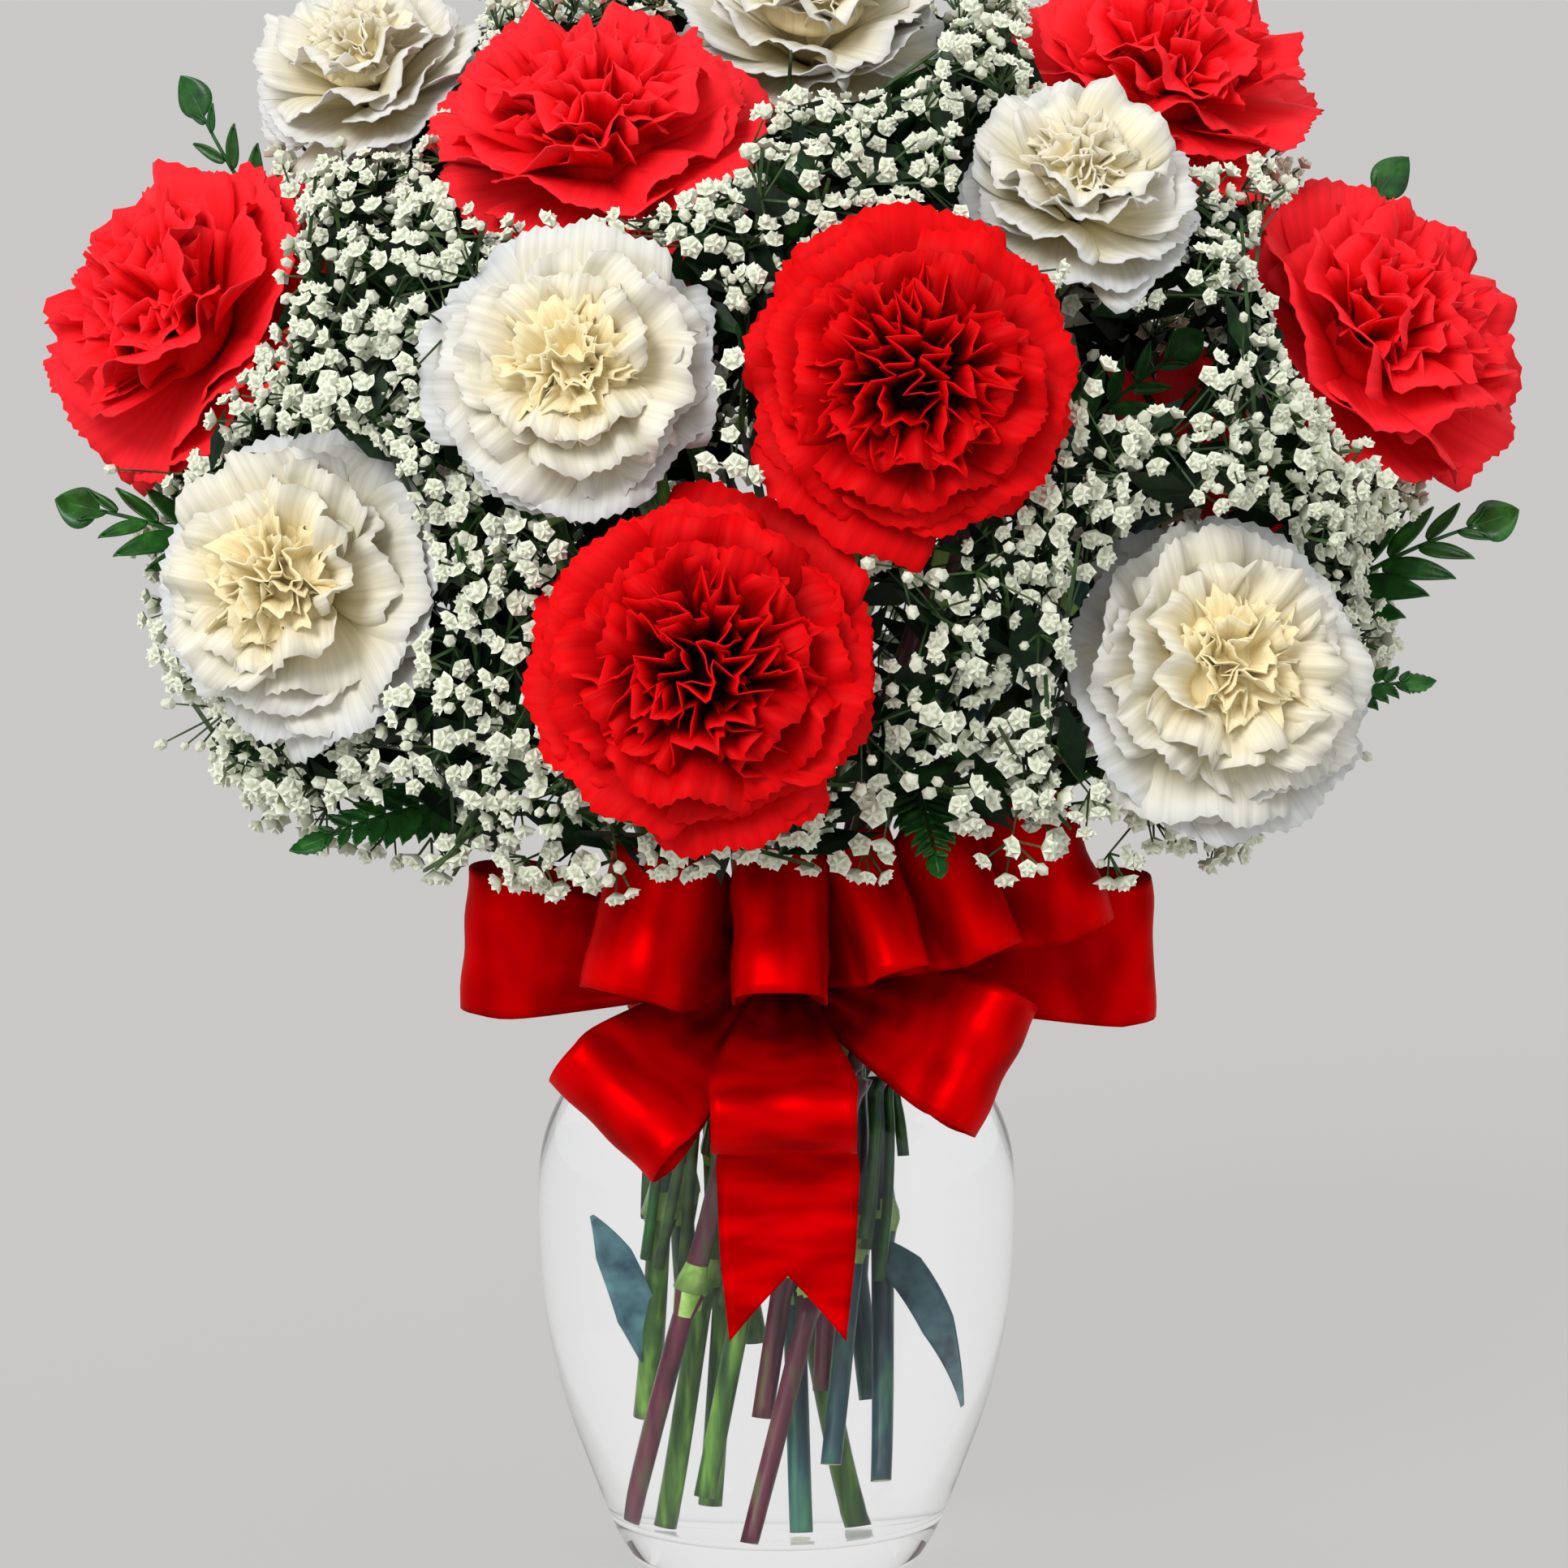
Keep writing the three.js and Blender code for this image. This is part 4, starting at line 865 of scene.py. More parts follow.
def build_calyx(bm, base, mouth):
    cup = np.array([base + share * (mouth - base) for share, _ in CALYX])
    bar(bm, cup, [radius * MM for _, radius in CALYX], STEM_SIDES, material=1)
    face_way = unit(mouth - base)
    first, second = square_to(face_way)
    for turn in 2 * np.pi * np.arange(5) / 5:
        out = np.cos(turn) * first + np.sin(turn) * second
        way = Vector(unit(out + face_way))
        foot = Vector(mouth + TOOTH_BASE[0] * out + TOOTH_BASE[1] * face_way)
        place = Matrix.Translation(foot + way * TOOTH / 2)
        place = place @ way.to_track_quat("Z", "Y").to_matrix().to_4x4()
        wide, thin = TOOTH_RADII
        made = bmesh.ops.create_cone(
            bm, cap_ends=True, segments=6, radius1=wide, radius2=thin, depth=TOOTH, matrix=place
        )
        for face in {face for vert in made["verts"] for face in vert.link_faces}:
            face.material_index = 1


def build_stem(name, skin):
    rough = np.array([np.array(point) for point in lines[name]])
    bm = bmesh.new()
    build_stalk(bm, rough)
    build_calyx(bm, rough[-3], rough[-1])
    piece = finish_mesh("stalk_" + name, bm, [skin, calyx_green, joint_green, cut_end])
    return dress(piece, "stem", "stem_" + name)


SKINS = [waxy_stem, blue_stem, waxy_stem, mauve_stem]
stems = [build_stem(name, SKINS[i % len(SKINS)]) for i, name in enumerate(bloom_names)]
print("stems:", sum(triangles(stem) for stem in stems), "triangles")

# %% [markdown]
# ## Leaves under water
# Two long strap leaves were left on the stems, blue-grey and folded a little along the middle. Each is a
# grid that narrows from its broad middle to its tip and bends over from the stem.

# %% Leaves under water
# The stem, how far up its straight part the leaf grows, its tip and its width in mm
WATER_LEAVES = [("red_back_right", 0.49, (44, -16, 47), 9), ("white_low_left", 0.14, (-40, -8, 96), 9)]
STRAIGHT_END = -7  # the point of a rough stem's line where its straight part ends
LEAF_BEND = 0.22  # how far it arches up, as a share of its length
TO_FRONT = np.array([0, -1.0, 0])
strap_uv, strap_faces = grid_template(6, 20)


def build_water_leaf(name, at, tip, width):
    rough = [np.array(point) for point in lines[name]]
    root = rough[0] + at * (rough[STRAIGHT_END] - rough[0])
    tip = np.array(tip) * MM
    bend = (root + tip) / 2 + np.array([0, 0, LEAF_BEND * np.linalg.norm(tip - root)])
    across, along = strap_uv[:, 0], strap_uv[:, 1]
    line = arc_weights(along) @ np.array([root, bend, tip])
    side = unit(np.cross(tip - root, TO_FRONT))
    half = width / 2 * MM * np.interp(along, [0, 0.2, 0.6, 1], [0.5, 1.0, 0.9, 0.12])
    fold = 1.3 * MM * np.abs(across) * (1 - along) - 0.4 * MM * np.sin(9 * along) * across
    place = line + (across * half)[:, None] * side + fold[:, None] * TO_FRONT
    numbers = {"along": along, "across": across}
    piece = assemble("leaf_" + name, [(place[None], strap_faces, 0, numbers)], [leaf_blue], 0.6 * MM)
    return dress(piece, "stem", "stem_" + name)


water_leaves = [build_water_leaf(*row) for row in WATER_LEAVES]
print("leaves under water:", [leaf.name for leaf in water_leaves])

# %% [markdown]
# ## Vase and water
# The vase is blown glass: a round body, so one profile spun round its axis. The wall is 3.2 mm thick, the
# foot is a 12 mm slab with a rounded heel, and the rim is fire-polished, which rounds it. The water fills
# it to the start of the neck and creeps up a little at its edge. Its side lies a hair inside the glass
# wall, because light then bends as it does from glass straight into water, with no film of air between
# them. Clear glass and water cast hardly any shadow, so none is drawn.

# %% Vase and water
OUTSIDE = [(40, 0), (44.5, 9), (50.8, 25), (58.4, 47), (63, 70), (64.5, 98)]
OUTSIDE += [(62.6, 116), (55.5, 130), (43.5, 141), (38, 150), (39.4, 160), (44, 168)]
HEEL = [(0, 0), (30, 0), (37, 0), (39.2, 0.3), (40.4, 1.2)]
RIM = [(43.4, 168.6), (42.4, 168.9), (41.4, 168.4)]
HEEL_TOP, RIM_START = 2.5, 167  # heights between which the smooth outline is used
GLASS = 3.2
FLOOR_HEIGHT = 12
BOWL_TOP = 19  # the height from which the wall is parallel to the outside
BOWL = [(1.5, 3.6), (4.5, 1.2), (10, 0.2)]  # the rounded corner: in from the wall, and up from the floor
WATER_HEIGHT = 138
OVERLAP = 0.08  # of the water into the glass
VASE_STEPS = 96


def profile_line(points, step):
    flat = smooth_line([(r, 0, z) for r, z in points], step)
    return flat[:, [0, 2]]


def spin_profile(name, profile, material):
    """A closed body from a profile of (radius, height) that starts and ends on the axis."""
    bm = bmesh.new()
    verts = [bm.verts.new((r * MM, 0, z * MM)) for r, z in profile]
    edges = [bm.edges.new(pair) for pair in zip(verts, verts[1:])]
    bmesh.ops.spin(
        bm,
        geom=verts + edges,
        cent=(0, 0, 0),
        axis=(0, 0, 1),
        angle=2 * math.pi,
        steps=VASE_STEPS,
        use_merge=True,
    )
    bmesh.ops.remove_doubles(bm, verts=bm.verts, dist=1e-6)
    return finish_mesh(name, bm, [material])


outside = profile_line(OUTSIDE, 3)
outside = outside[outside[:, 1] > HEEL_TOP]
inside = outside[(outside[:, 1] > BOWL_TOP)][::-1] - [GLASS, 0]
inside = inside[inside[:, 1] < RIM_START]
corner = inside[-1][0]
bowl = [(corner - inset, FLOOR_HEIGHT + rise) for inset, rise in BOWL] + [(0, FLOOR_HEIGHT)]
vase_profile = [*HEEL, *outside, *RIM, *inside, *bowl]
vase = dress(spin_profile("glass_vase", vase_profile, clear_glass), "glass", "vase")

wet = [(r + OVERLAP, z) for r, z in inside[::-1] if z < WATER_HEIGHT - 1]
water_bowl = [(0, FLOOR_HEIGHT - OVERLAP)] + [(r + OVERLAP, z - OVERLAP) for r, z in bowl[-2::-1]]
edge = wet[-1][0]
surface = [(edge - 0.5, WATER_HEIGHT), (edge - 2.5, WATER_HEIGHT - 0.8), (0, WATER_HEIGHT - 1)]
water = dress(spin_profile("vase_water", [*water_bowl, *wet, *surface], clear_water), "water", "water")
for clear_piece in (vase, water):
    clear_piece.visible_shadow = False
print("vase and water:", triangles(vase), triangles(water), "triangles")

# %% [markdown]
# ## Baby's breath
# Gypsophila branches again and again into thin twigs, and each ends in a small cyme: a handful of double
# white florets, 5.5 mm wide, and a few buds. There are about five thousand florets in this bouquet, so
# each has only 40 triangles. The rough sprays give the main twigs. New twigs fork off those and carry the
# cymes over the whole dome, kept clear of the blooms. Narrow leaves stand along them, near black as painted
# shade inside the bouquet.
#
# A floret starts as a shallow cone. Its cap is inset once and poked, and then every second corner of its
# rim stands out and up and its middle ring goes the other way, which frills it.

# %% Floret, bud, twig and leaf shapes
FLORET_CORNERS = 10
# For a floret's rim, its middle ring and the rest: how much the frill widens it, its height, how much the
# frill lifts it, and where its colour lies along the material and how much the frill moves that, which
# paints shade into the frill's hollows and light on its raised corners
FLORET_RIM = (0.11, -0.2, 0.12, 0.85, 0.15)
FLORET_RING = (-0.14, 0.16, -0.15, 0.55, -0.35)
FLORET_REST = (0, 0.08, 0, 0.75, 0)


def floret_cap(bm):
    return [face for face in bm.faces if len(face.verts) == FLORET_CORNERS]


def floret_shape(bm):
    made = bmesh.ops.create_cone(
        bm, cap_ends=True, cap_tris=False, segments=FLORET_CORNERS, radius1=0.001, radius2=1.0, depth=0.9
    )
    bmesh.ops.remove_doubles(bm, verts=made["verts"], dist=0.01)
    bmesh.ops.inset_region(bm, faces=floret_cap(bm), thickness=0.45, depth=0.0)
    bmesh.ops.poke(bm, faces=floret_cap(bm), offset=0.12)


def twig_shape(bm):
    bmesh.ops.create_cone(bm, cap_ends=True, cap_tris=False, segments=3, radius1=1, radius2=0.75, depth=1)


def leaf_shape(bm):
    bmesh.ops.create_uvsphere(bm, u_segments=4, v_segments=2, radius=1)


floret_points, floret_faces = template(floret_shape)
bud_points, bud_faces = template(lambda bm: bmesh.ops.create_icosphere(bm, subdivisions=1, radius=1))
twig_points, twig_faces = template(twig_shape)
leaf_points, leaf_faces = template(leaf_shape)
frill = np.sin(FLORET_CORNERS / 2 * np.arctan2(floret_points[:, 1], floret_points[:, 0]))
from_axis = np.linalg.norm(floret_points[:, :2], axis=1)
bands = [from_axis > 0.9, (from_axis > 0.3) & (from_axis < 0.9)]
widening, raising, lift, floret_tint_and_shade, frill_shade = (
    np.select(bands, facts[:2], facts[2]) for facts in zip(FLORET_RIM, FLORET_RING, FLORET_REST)
)
floret_points[:, :2] *= (1 + widening * frill)[:, None]
floret_points[:, 2] += raising + lift * frill
# Below the rim the floret takes the green of its base; above it, the frill paints shade into the hollows and
# light on the raised corners
floret_tint_and_shade = np.where(floret_points[:, 2] < 0, 0.0, floret_tint_and_shade + frill_shade * frill)
twig_points[:, 2] += 0.5
shapes = {"floret": floret_faces, "bud": bud_faces, "twig": twig_faces, "leaf": leaf_faces}
print("triangles:", {name: sum(len(face) - 2 for face in faces) for name, faces in shapes.items()})


# %% [markdown]
# ## Places of the fronds and of the bow's loops
# Ferns and bow are built later, but the baby's breath has to leave room for them, so their places are
# given first. They are those of the rough solids: a frond's tip and base, its width and the way its upper
# side faces; and for each loop where it turns back, which way the ribbon's width lies there, and how far
# it bulges. All are in millimetres.

# %% Where the fern fronds and the loops lie
FRONDS = [
    {"tip": (-186, -20, 288), "base": (-132, -8, 266), "width": 34, "up": (-0.2, -0.8, 0.8), "broad": True},
    {"tip": (-156, 12, 396), "base": (-122, 14, 344), "width": 26, "up": (-0.5, -0.9, 0.1), "broad": True},
    {"tip": (-121, -74, 205), "base": (-70, -50, 214), "width": 28, "up": (0, -0.8, 0.8), "broad": False},
    {"tip": (193, -10, 284), "base": (140, 2, 256), "width": 34, "up": (0.2, -0.8, 0.8), "broad": True},
    {"tip": (168, 36, 374), "base": (122, 34, 324), "width": 28, "up": (0.4, -0.9, 0.2), "broad": True},
    {"tip": (170, -30, 242), "base": (124, -22, 232), "width": 28, "up": (0, -0.8, 0.8), "broad": False},
    {"tip": (40, -128, 207), "base": (34, -86, 224), "width": 24, "up": (0, -0.6, 0.8), "broad": False},
    {"tip": (106, -64, 334), "base": (72, -38, 304), "width": 24, "up": (0.2, -1, 0.3), "broad": True},
    {"tip": (-132, 108, 238), "base": (-78, 66, 214), "width": 34, "up": (0, 0.6, 1), "broad": False},
    {"tip": (132, 108, 236), "base": (78, 66, 214), "width": 34, "up": (0, 0.6, 1), "broad": False},
    {"tip": (0, 156, 222), "base": (0, 92, 212), "width": 36, "up": (0, 0.6, 1), "broad": False},
]
LOOPS = [
    ((-81, -46, 178), (0, 0, 1), 28),
    ((-40, -100, 191), (0.05, 0, 1), 30),
    ((1, -108, 192), (0, 0, 1), 25),
    ((29, -104, 197), (-0.1, 0, 1), 17),
    ((53, -96, 201), (-0.15, 0, 1), 19),
    ((79, -80, 205), (-0.2, 0, 1), 23),
    ((98, -50, 176), (0.4, 0, 0.92), 24),
    ((-44, -95, 137), (0.93, 0, -0.37), 22),
    ((2, -96, 132), (1, 0, 0), 22),
    ((58, -88, 150), (0.75, 0, 0.66), 22),
]
KNOT = np.array([1, -58, 172])
print(len(FRONDS), "fronds and", len(LOOPS), "loops")

# %% [markdown]
# ## Keeping twigs, florets and leaves clear
# Three tests keep the small parts out of the way. Each bloom is a flattened ball that nothing may enter,
# each loop of the bow is a thick line, and nothing may stand between the camera and a bloom or a fern tip
# that the photo shows whole. For the last, a point is moved along its line of sight to the depth of the
# bloom, which looks like an oval from there.

# %% Tests that keep the small parts clear
BALL_BEHIND, BALL_IN_FRONT = 0.4, 0.62  # how deep a bloom's ball is on either side, in bloom radii


def clear_of_blooms(points, room):
    clear = np.ones(len(points), bool)
    for seat in seats:
        off = points - seat["middle"]
        along = off @ seat["face"]
        across = np.sqrt(np.maximum((off**2).sum(axis=1) - along**2, 0))
        deep = np.where(along < 0, BALL_BEHIND, BALL_IN_FRONT) * seat["radius"]
        clear &= np.hypot(across / (seat["radius"] + room), along / (deep + room)) > 1
    return clear


def clear_of_bow(points, room):
    clear = np.ones(len(points), bool)
    for end, _, _ in LOOPS:
        way = (np.array(end) - KNOT) * MM
        share = np.clip((points - KNOT * MM) @ way / (way @ way), 0, 1)
        nearest = KNOT * MM + share[:, None] * way
        clear &= np.linalg.norm(points - nearest, axis=1) > room
    return clear


EYE = np.array(camera.location)
VIEW = unit(np.array(TARGET) - EYE)
OVAL_SHARE = 0.94  # florets may cover a bloom's outermost edge
FLATTEST_OVAL = 0.66  # a bloom stays this wide for its height, however far it is turned away
OVAL_SHIFT = 0.15  # and its oval moves to where it faces, by this share of its radius
FERN_IN_SIGHT = 0.5  # florets may cover this part of a frond's length, from its base
FERN_SHARE = 0.24  # how much to either side of its rib stays in sight, as a share of its width
FERN_DEPTH = 12 * MM  # florets this far behind a frond's tip count as in front of it, as the frond is arched
BACK_FERNS = 50  # the fronds that lie farther back than this aren't in the photo


def seen_at(points, place):
    """Points moved along their lines of sight onto the plane through place that faces the camera."""
    return EYE + (points - EYE) * (((place - EYE) @ VIEW) / ((points - EYE) @ VIEW))[:, None]


def hides_bloom(points, seat, room):
    nearer = (points - seat["middle"]) @ VIEW < 0
    flat = seen_at(points, seat["middle"]) - seat["middle"]
    lean = seat["face"] - (seat["face"] @ VIEW) * VIEW
    tilt = np.linalg.norm(lean)
    minor = flat @ unit(lean) - OVAL_SHIFT * tilt * seat["radius"]
    major = np.sqrt(np.maximum((flat**2).sum(axis=1) - (flat @ unit(lean)) ** 2, 0))
    squeeze = max(FLATTEST_OVAL, math.sqrt(max(0, 1 - tilt**2)))
    return nearer & (np.hypot(minor / squeeze, major) <= OVAL_SHARE * seat["radius"] + room)


def hides_frond(points, frond, room):
    base, tip = np.array(frond["base"]) * MM, np.array(frond["tip"]) * MM
    start, end = seen_at(np.array([base + FERN_IN_SIGHT * (tip - base), tip]), tip)
    seen = seen_at(points, tip)
    share = np.clip((seen - start) @ (end - start) / ((end - start) @ (end - start)), 0, 1.1)
    gap = np.linalg.norm(seen - start - share[:, None] * (end - start), axis=1)
    nearer = (points - tip) @ VIEW < FERN_DEPTH
    return nearer & (gap <= FERN_SHARE * frond["width"] * MM + room)


def hides_nothing(points, room):
    """True where a point hides neither a bloom nor a fern's tip that the photo shows whole."""
    hidden = [hides_bloom(points, seat, room) for seat in seats if "back" not in seat["name"]]
    hidden += [hides_frond(points, frond, room) for frond in FRONDS if frond["tip"][1] <= BACK_FERNS]
    return ~np.any(hidden, axis=0)


def open_way(starts, ends):
    """True where a straight twig passes clear of the blooms and of the view of them."""
    clear = np.ones(len(starts), bool)
    for share in (0, 0.25, 0.5, 0.75, 1):
        points = starts + share * (ends - starts)
        clear &= hides_nothing(points, 1 * MM) & clear_of_blooms(points, -1 * MM)
    return clear


middles = np.array([seat["middle"] for seat in seats])
print("blooms' own middles that the test calls clear:", clear_of_blooms(middles, 0).sum())

# %% [markdown]
# ## Reading the sprays
# A rough spray has a stalk of square rings and, on each of its twigs, one large floret: a low crown with
# a tip. All edges from such a tip down to its rim are equally long, which is how it is found. Stepping on
# from the tip gives the twig's own rings. Twigs that would cross a bloom or hide one are left out.

# %% Reading the sprays
ROUGH_FLORET = (9.5 * MM, 1.8 * MM)  # radius and height of a rough floret's crown


def read_spray(node):
    """The stalk's line, and for each rough twig its root and its tip."""
    bm = read_solid(node)
    stalk = stalk_line(bm)
    twigs = []
    for vert in bm.verts:
        spans = [edge.calc_length() for edge in vert.link_edges]
        if len(spans) == 4 and all(abs(span - math.hypot(*ROUGH_FLORET)) < 0.05 * MM for span in spans):
            rings = step_out([vert])
            twigs.append((np.array(middle(rings[3])), np.array(middle(rings[1]))))
    bm.free()
    return stalk, np.array(twigs)


sprays = {name: read_spray(name) for name in names if name.startswith("spray")}
kept_twigs = {name: twigs[open_way(twigs[:, 0], twigs[:, 1])] for name, (_, twigs) in sprays.items()}
rough_twigs = np.concatenate(list(kept_twigs.values()))
spray_of = np.concatenate([[i] * len(twigs) for i, twigs in enumerate(kept_twigs.values())]).astype(int)
print("rough twigs:", len(rough_twigs), "kept of", sum(len(twigs) for _, twigs in sprays.values()))


# %% [markdown]
# ## Places for the cymes
# The cymes lie on a dome, the same as the rough florets', in a sunflower's spiral wound round a ball and
# loosened a little, so that they are evenly spread without rows. Some sit a little deeper than others.
# Low down a third is left out, as the photo has fewer there. On top and at the flanks, where a cyme would
# hide a bloom, one sits deeper instead, so that no hole is left there.

# %% Places for the cymes
SHELL_CENTRE = np.array([0, -8, 288]) * MM
SHELL = np.array([170, 154, 148]) * MM
CYME_POINTS = 2540
CYME_DEPTHS = [1.0, 0.98, 0.95, 0.91]
DEEPER = (0.88, 0.78, 0.68)
LOWEST_CYME = 200 * MM
OPEN_BELOW = 275 * MM
BOW_ROOM = 21 * MM
draw = np.random.default_rng(5)
height = 1 - 2 * (np.arange(CYME_POINTS) + 0.5) / CYME_POINTS
flat = np.sqrt(1 - height**2)
turn = GOLDEN_TURN * np.arange(CYME_POINTS)
every_third = np.arange(CYME_POINTS) % 3 == 0
spiral = np.stack([flat * np.cos(turn), flat * np.sin(turn), height], axis=1)
spiral = unit(spiral + draw.normal(0, 0.02, spiral.shape))
outward = unit(spiral / SHELL)


def places_at(depth):
    """Each place on the spiral at a share of the dome's size, and whether a cyme fits there."""
    places = SHELL_CENTRE + spiral * SHELL * depth
    fit = clear_of_blooms(places, 1 * MM) & clear_of_bow(places, BOW_ROOM) & hides_nothing(places, 0)
    left_out = (places[:, 2] < OPEN_BELOW) & every_third
    return places, fit & (places[:, 2] > LOWEST_CYME) & ~left_out


cymes, keep = places_at(draw.choice(CYME_DEPTHS, CYME_POINTS)[:, None])
print("cymes on the dome:", keep.sum())
high_or_flank = (spiral[:, 2] > 0.3) | (np.abs(spiral[:, 0]) > 0.6)
for share in DEEPER:
    places, fit = places_at(share)
    fit &= ~keep & high_or_flank & every_third
    cymes[fit], keep = places[fit], keep | fit
cymes, outward = cymes[keep], outward[keep]
print("with the deeper ones:", len(cymes))

# %% [markdown]
# ## New twigs
# Each cyme's twig starts from the nearest rough twig, at one of three places along it, and belongs to
# that twig's spray. It ends at a hub a little below the dome, from which the florets' own stalks spread.
# A twig that would cross or hide a bloom is left out with its cyme.

# %% Twigs of the cymes
HUB_DEPTH = 9 * MM
FORKS = (0.45, 0.65, 0.85)  # places along a rough twig where others fork off
FORK_COST = 6 * MM  # a fork off the middle one counts as farther by its share of this


def nearest_twig(hub):
    """The point of the rough twigs from which a new twig is shortest, and its spray."""
    root, tip = rough_twigs[:, 0], rough_twigs[:, 1]
    share = np.array(FORKS)[:, None, None]
    places = root + share * (tip - root)
    gap = np.linalg.norm(places - hub, axis=2) + FORK_COST * np.abs(share[..., 0] - FORKS[1])
    k, i = np.unravel_index(gap.argmin(), gap.shape)
    return places[k, i], spray_of[i]


hubs = cymes - HUB_DEPTH * outward
joined = [nearest_twig(hub) for hub in hubs]
roots = np.array([place for place, _ in joined])
owner = np.array([spray for _, spray in joined])
free = open_way(roots, hubs)
hubs, outward, roots, owner = hubs[free], outward[free], roots[free], owner[free]
print("cymes with a clear twig:", len(hubs))

# %% [markdown]
# ## Florets, buds and leaves
# Five florets stand in a ring round each hub and one in its middle, every one on a stalk of its own, and
# some are still buds. A few cymes stand out long and carry buds alone, which breaks up the dome's
# outline. The copies are placed by numpy, thousands at a time, as loops over single florets would be slow.

# %% Twigs, florets and leaves of the sprays
def rods(starts, ends, radius):
    """Thin bars from starts to ends."""
    way = ends - starts
    side, other = square_to(unit(way))
    x, y, z = (twig_points[None, :, i, None] for i in range(3))
    return starts[:, None] + radius * (x * side[:, None] + y * other[:, None]) + z * way[:, None]


def stand(points, places, headings, sizes, spin):
    """Copies of a shape at places, each turned to its heading, with sizes (n, 3) along its own axes."""
    first, second = square_to(headings)
    cos, sin = np.cos(spin)[:, None], np.sin(spin)[:, None]
    axes = np.stack([cos * first + sin * second, cos * second - sin * first, headings], axis=1)
    return places[:, None] + (points[None] * sizes[:, None]) @ axes


FLORET_RADIUS = 2.75 * MM
FLORET_SIZES = (0.75, 1.15)
FLORETS_BY_HEIGHT = ([0.215, 0.34, 0.43], [1.12, 0.94, 0.88])  # those low down are a little larger
FLORETS_ROUND = 5
FLORET_TILT = math.radians(44)
PEDICEL = 8.5 * MM
PEDICEL_LENGTHS = (0.7, 1.25)
BUD_SHARE = 0.15
BUD_RADII = (1.2, 1.9)  # mm
STRAY = 0.05  # the share of cymes that stand out long and carry only buds
STRAY_LENGTH = 2.1
STRAYS_ABOVE = 232 * MM  # none hangs in front of the bow
TWIG_RADIUS = 0.4 * MM
ROUGH_TWIG_RADIUS = 0.8 * MM
LEAVES_PER_CYME = 8
LEAF_HALF = (9, 15)  # half a leaf's length, mm
LEAF_SHELL = 0.93  # how far out the leaves' tips may reach, as a share of the florets' shell
LEADER = 40 * MM


def spread_florets(hub, out, stray, random):
    """For each floret or bud the hub of its stalk, its place and heading, and whether it is a bud."""
    found = []
    side = unit(np.cross(out, [0.3, 0.2, 1.0]))
    other = np.cross(out, side)
    for n in range(FLORETS_ROUND + 1):
        turn = 2 * np.pi * n / FLORETS_ROUND + random.uniform(0, 0.8, (len(hub), 1))
        tilt = (0 if n == FLORETS_ROUND else FLORET_TILT) + random.normal(0, 0.14, (len(hub), 1))
        sideways = np.cos(turn) * side + np.sin(turn) * other
        way = unit(np.cos(tilt) * out + np.sin(tilt) * sideways)
        length = PEDICEL * random.uniform(*PEDICEL_LENGTHS, len(hub)) * np.where(stray, STRAY_LENGTH, 1)
        place = hub + way * length[:, None]
        good = clear_of_blooms(place, 3 * MM) & clear_of_bow(place, 17 * MM) & hides_nothing(place, 2 * MM)
        bud = stray | (random.uniform(size=len(hub)) < BUD_SHARE)
        found.append((hub[good], place[good], way[good], bud[good]))
    return [np.concatenate(column) for column in zip(*found)]


def floret_copies(place, way, random):
    """Open florets, each nodding a little off its stalk."""
    way = unit(way + random.normal(0, 0.3, way.shape))
    size = FLORET_RADIUS * random.uniform(*FLORET_SIZES, len(place))
    size = size * np.interp(place[:, 2], *FLORETS_BY_HEIGHT)
    return stand(
        floret_points, place, way, size[:, None] * [[1, 1, 1.05]], random.uniform(0, 6.3, len(place))
    )


def bud_copies(place, way, random):
    size = random.uniform(*BUD_RADII, (len(place), 1)) * MM * [[1, 1, 1.3]]
    return stand(bud_points, place, way, size, random.uniform(0, 6.3, len(place)))


def leaf_copies(root, hub, out, random):
    """Leaves along the new twigs, inside the shell of florets, near black as painted shade."""
    share = random.uniform(-0.1, 0.85, (len(hub) * LEAVES_PER_CYME, 1))
    root, hub, out = (np.repeat(a, LEAVES_PER_CYME, axis=0) for a in (root, hub, out))
    place = root * (1 - share) + hub * share
    way = unit(out * 0.35 + random.normal(0, 0.6, place.shape))
    half = random.uniform(*LEAF_HALF, (len(place), 1)) * MM
    centre = place + way * half * 0.95
    tip = place + way * 2 * half
    good = np.linalg.norm((tip - SHELL_CENTRE) / SHELL, axis=1) < LEAF_SHELL
    good &= tip[:, 2] > LOWEST_CYME
    for spot, room in ((centre, 3 * MM), (tip, 1 * MM)):
        good &= clear_of_blooms(spot, room) & clear_of_bow(spot, 20 * MM) & hides_nothing(spot, 2 * MM)
    size = np.concatenate([half * 0.3, np.full(half.shape, 0.35 * MM), half], axis=1)
    return stand(leaf_points, centre[good], way[good], size[good], random.uniform(0, 6.3, good.sum()))


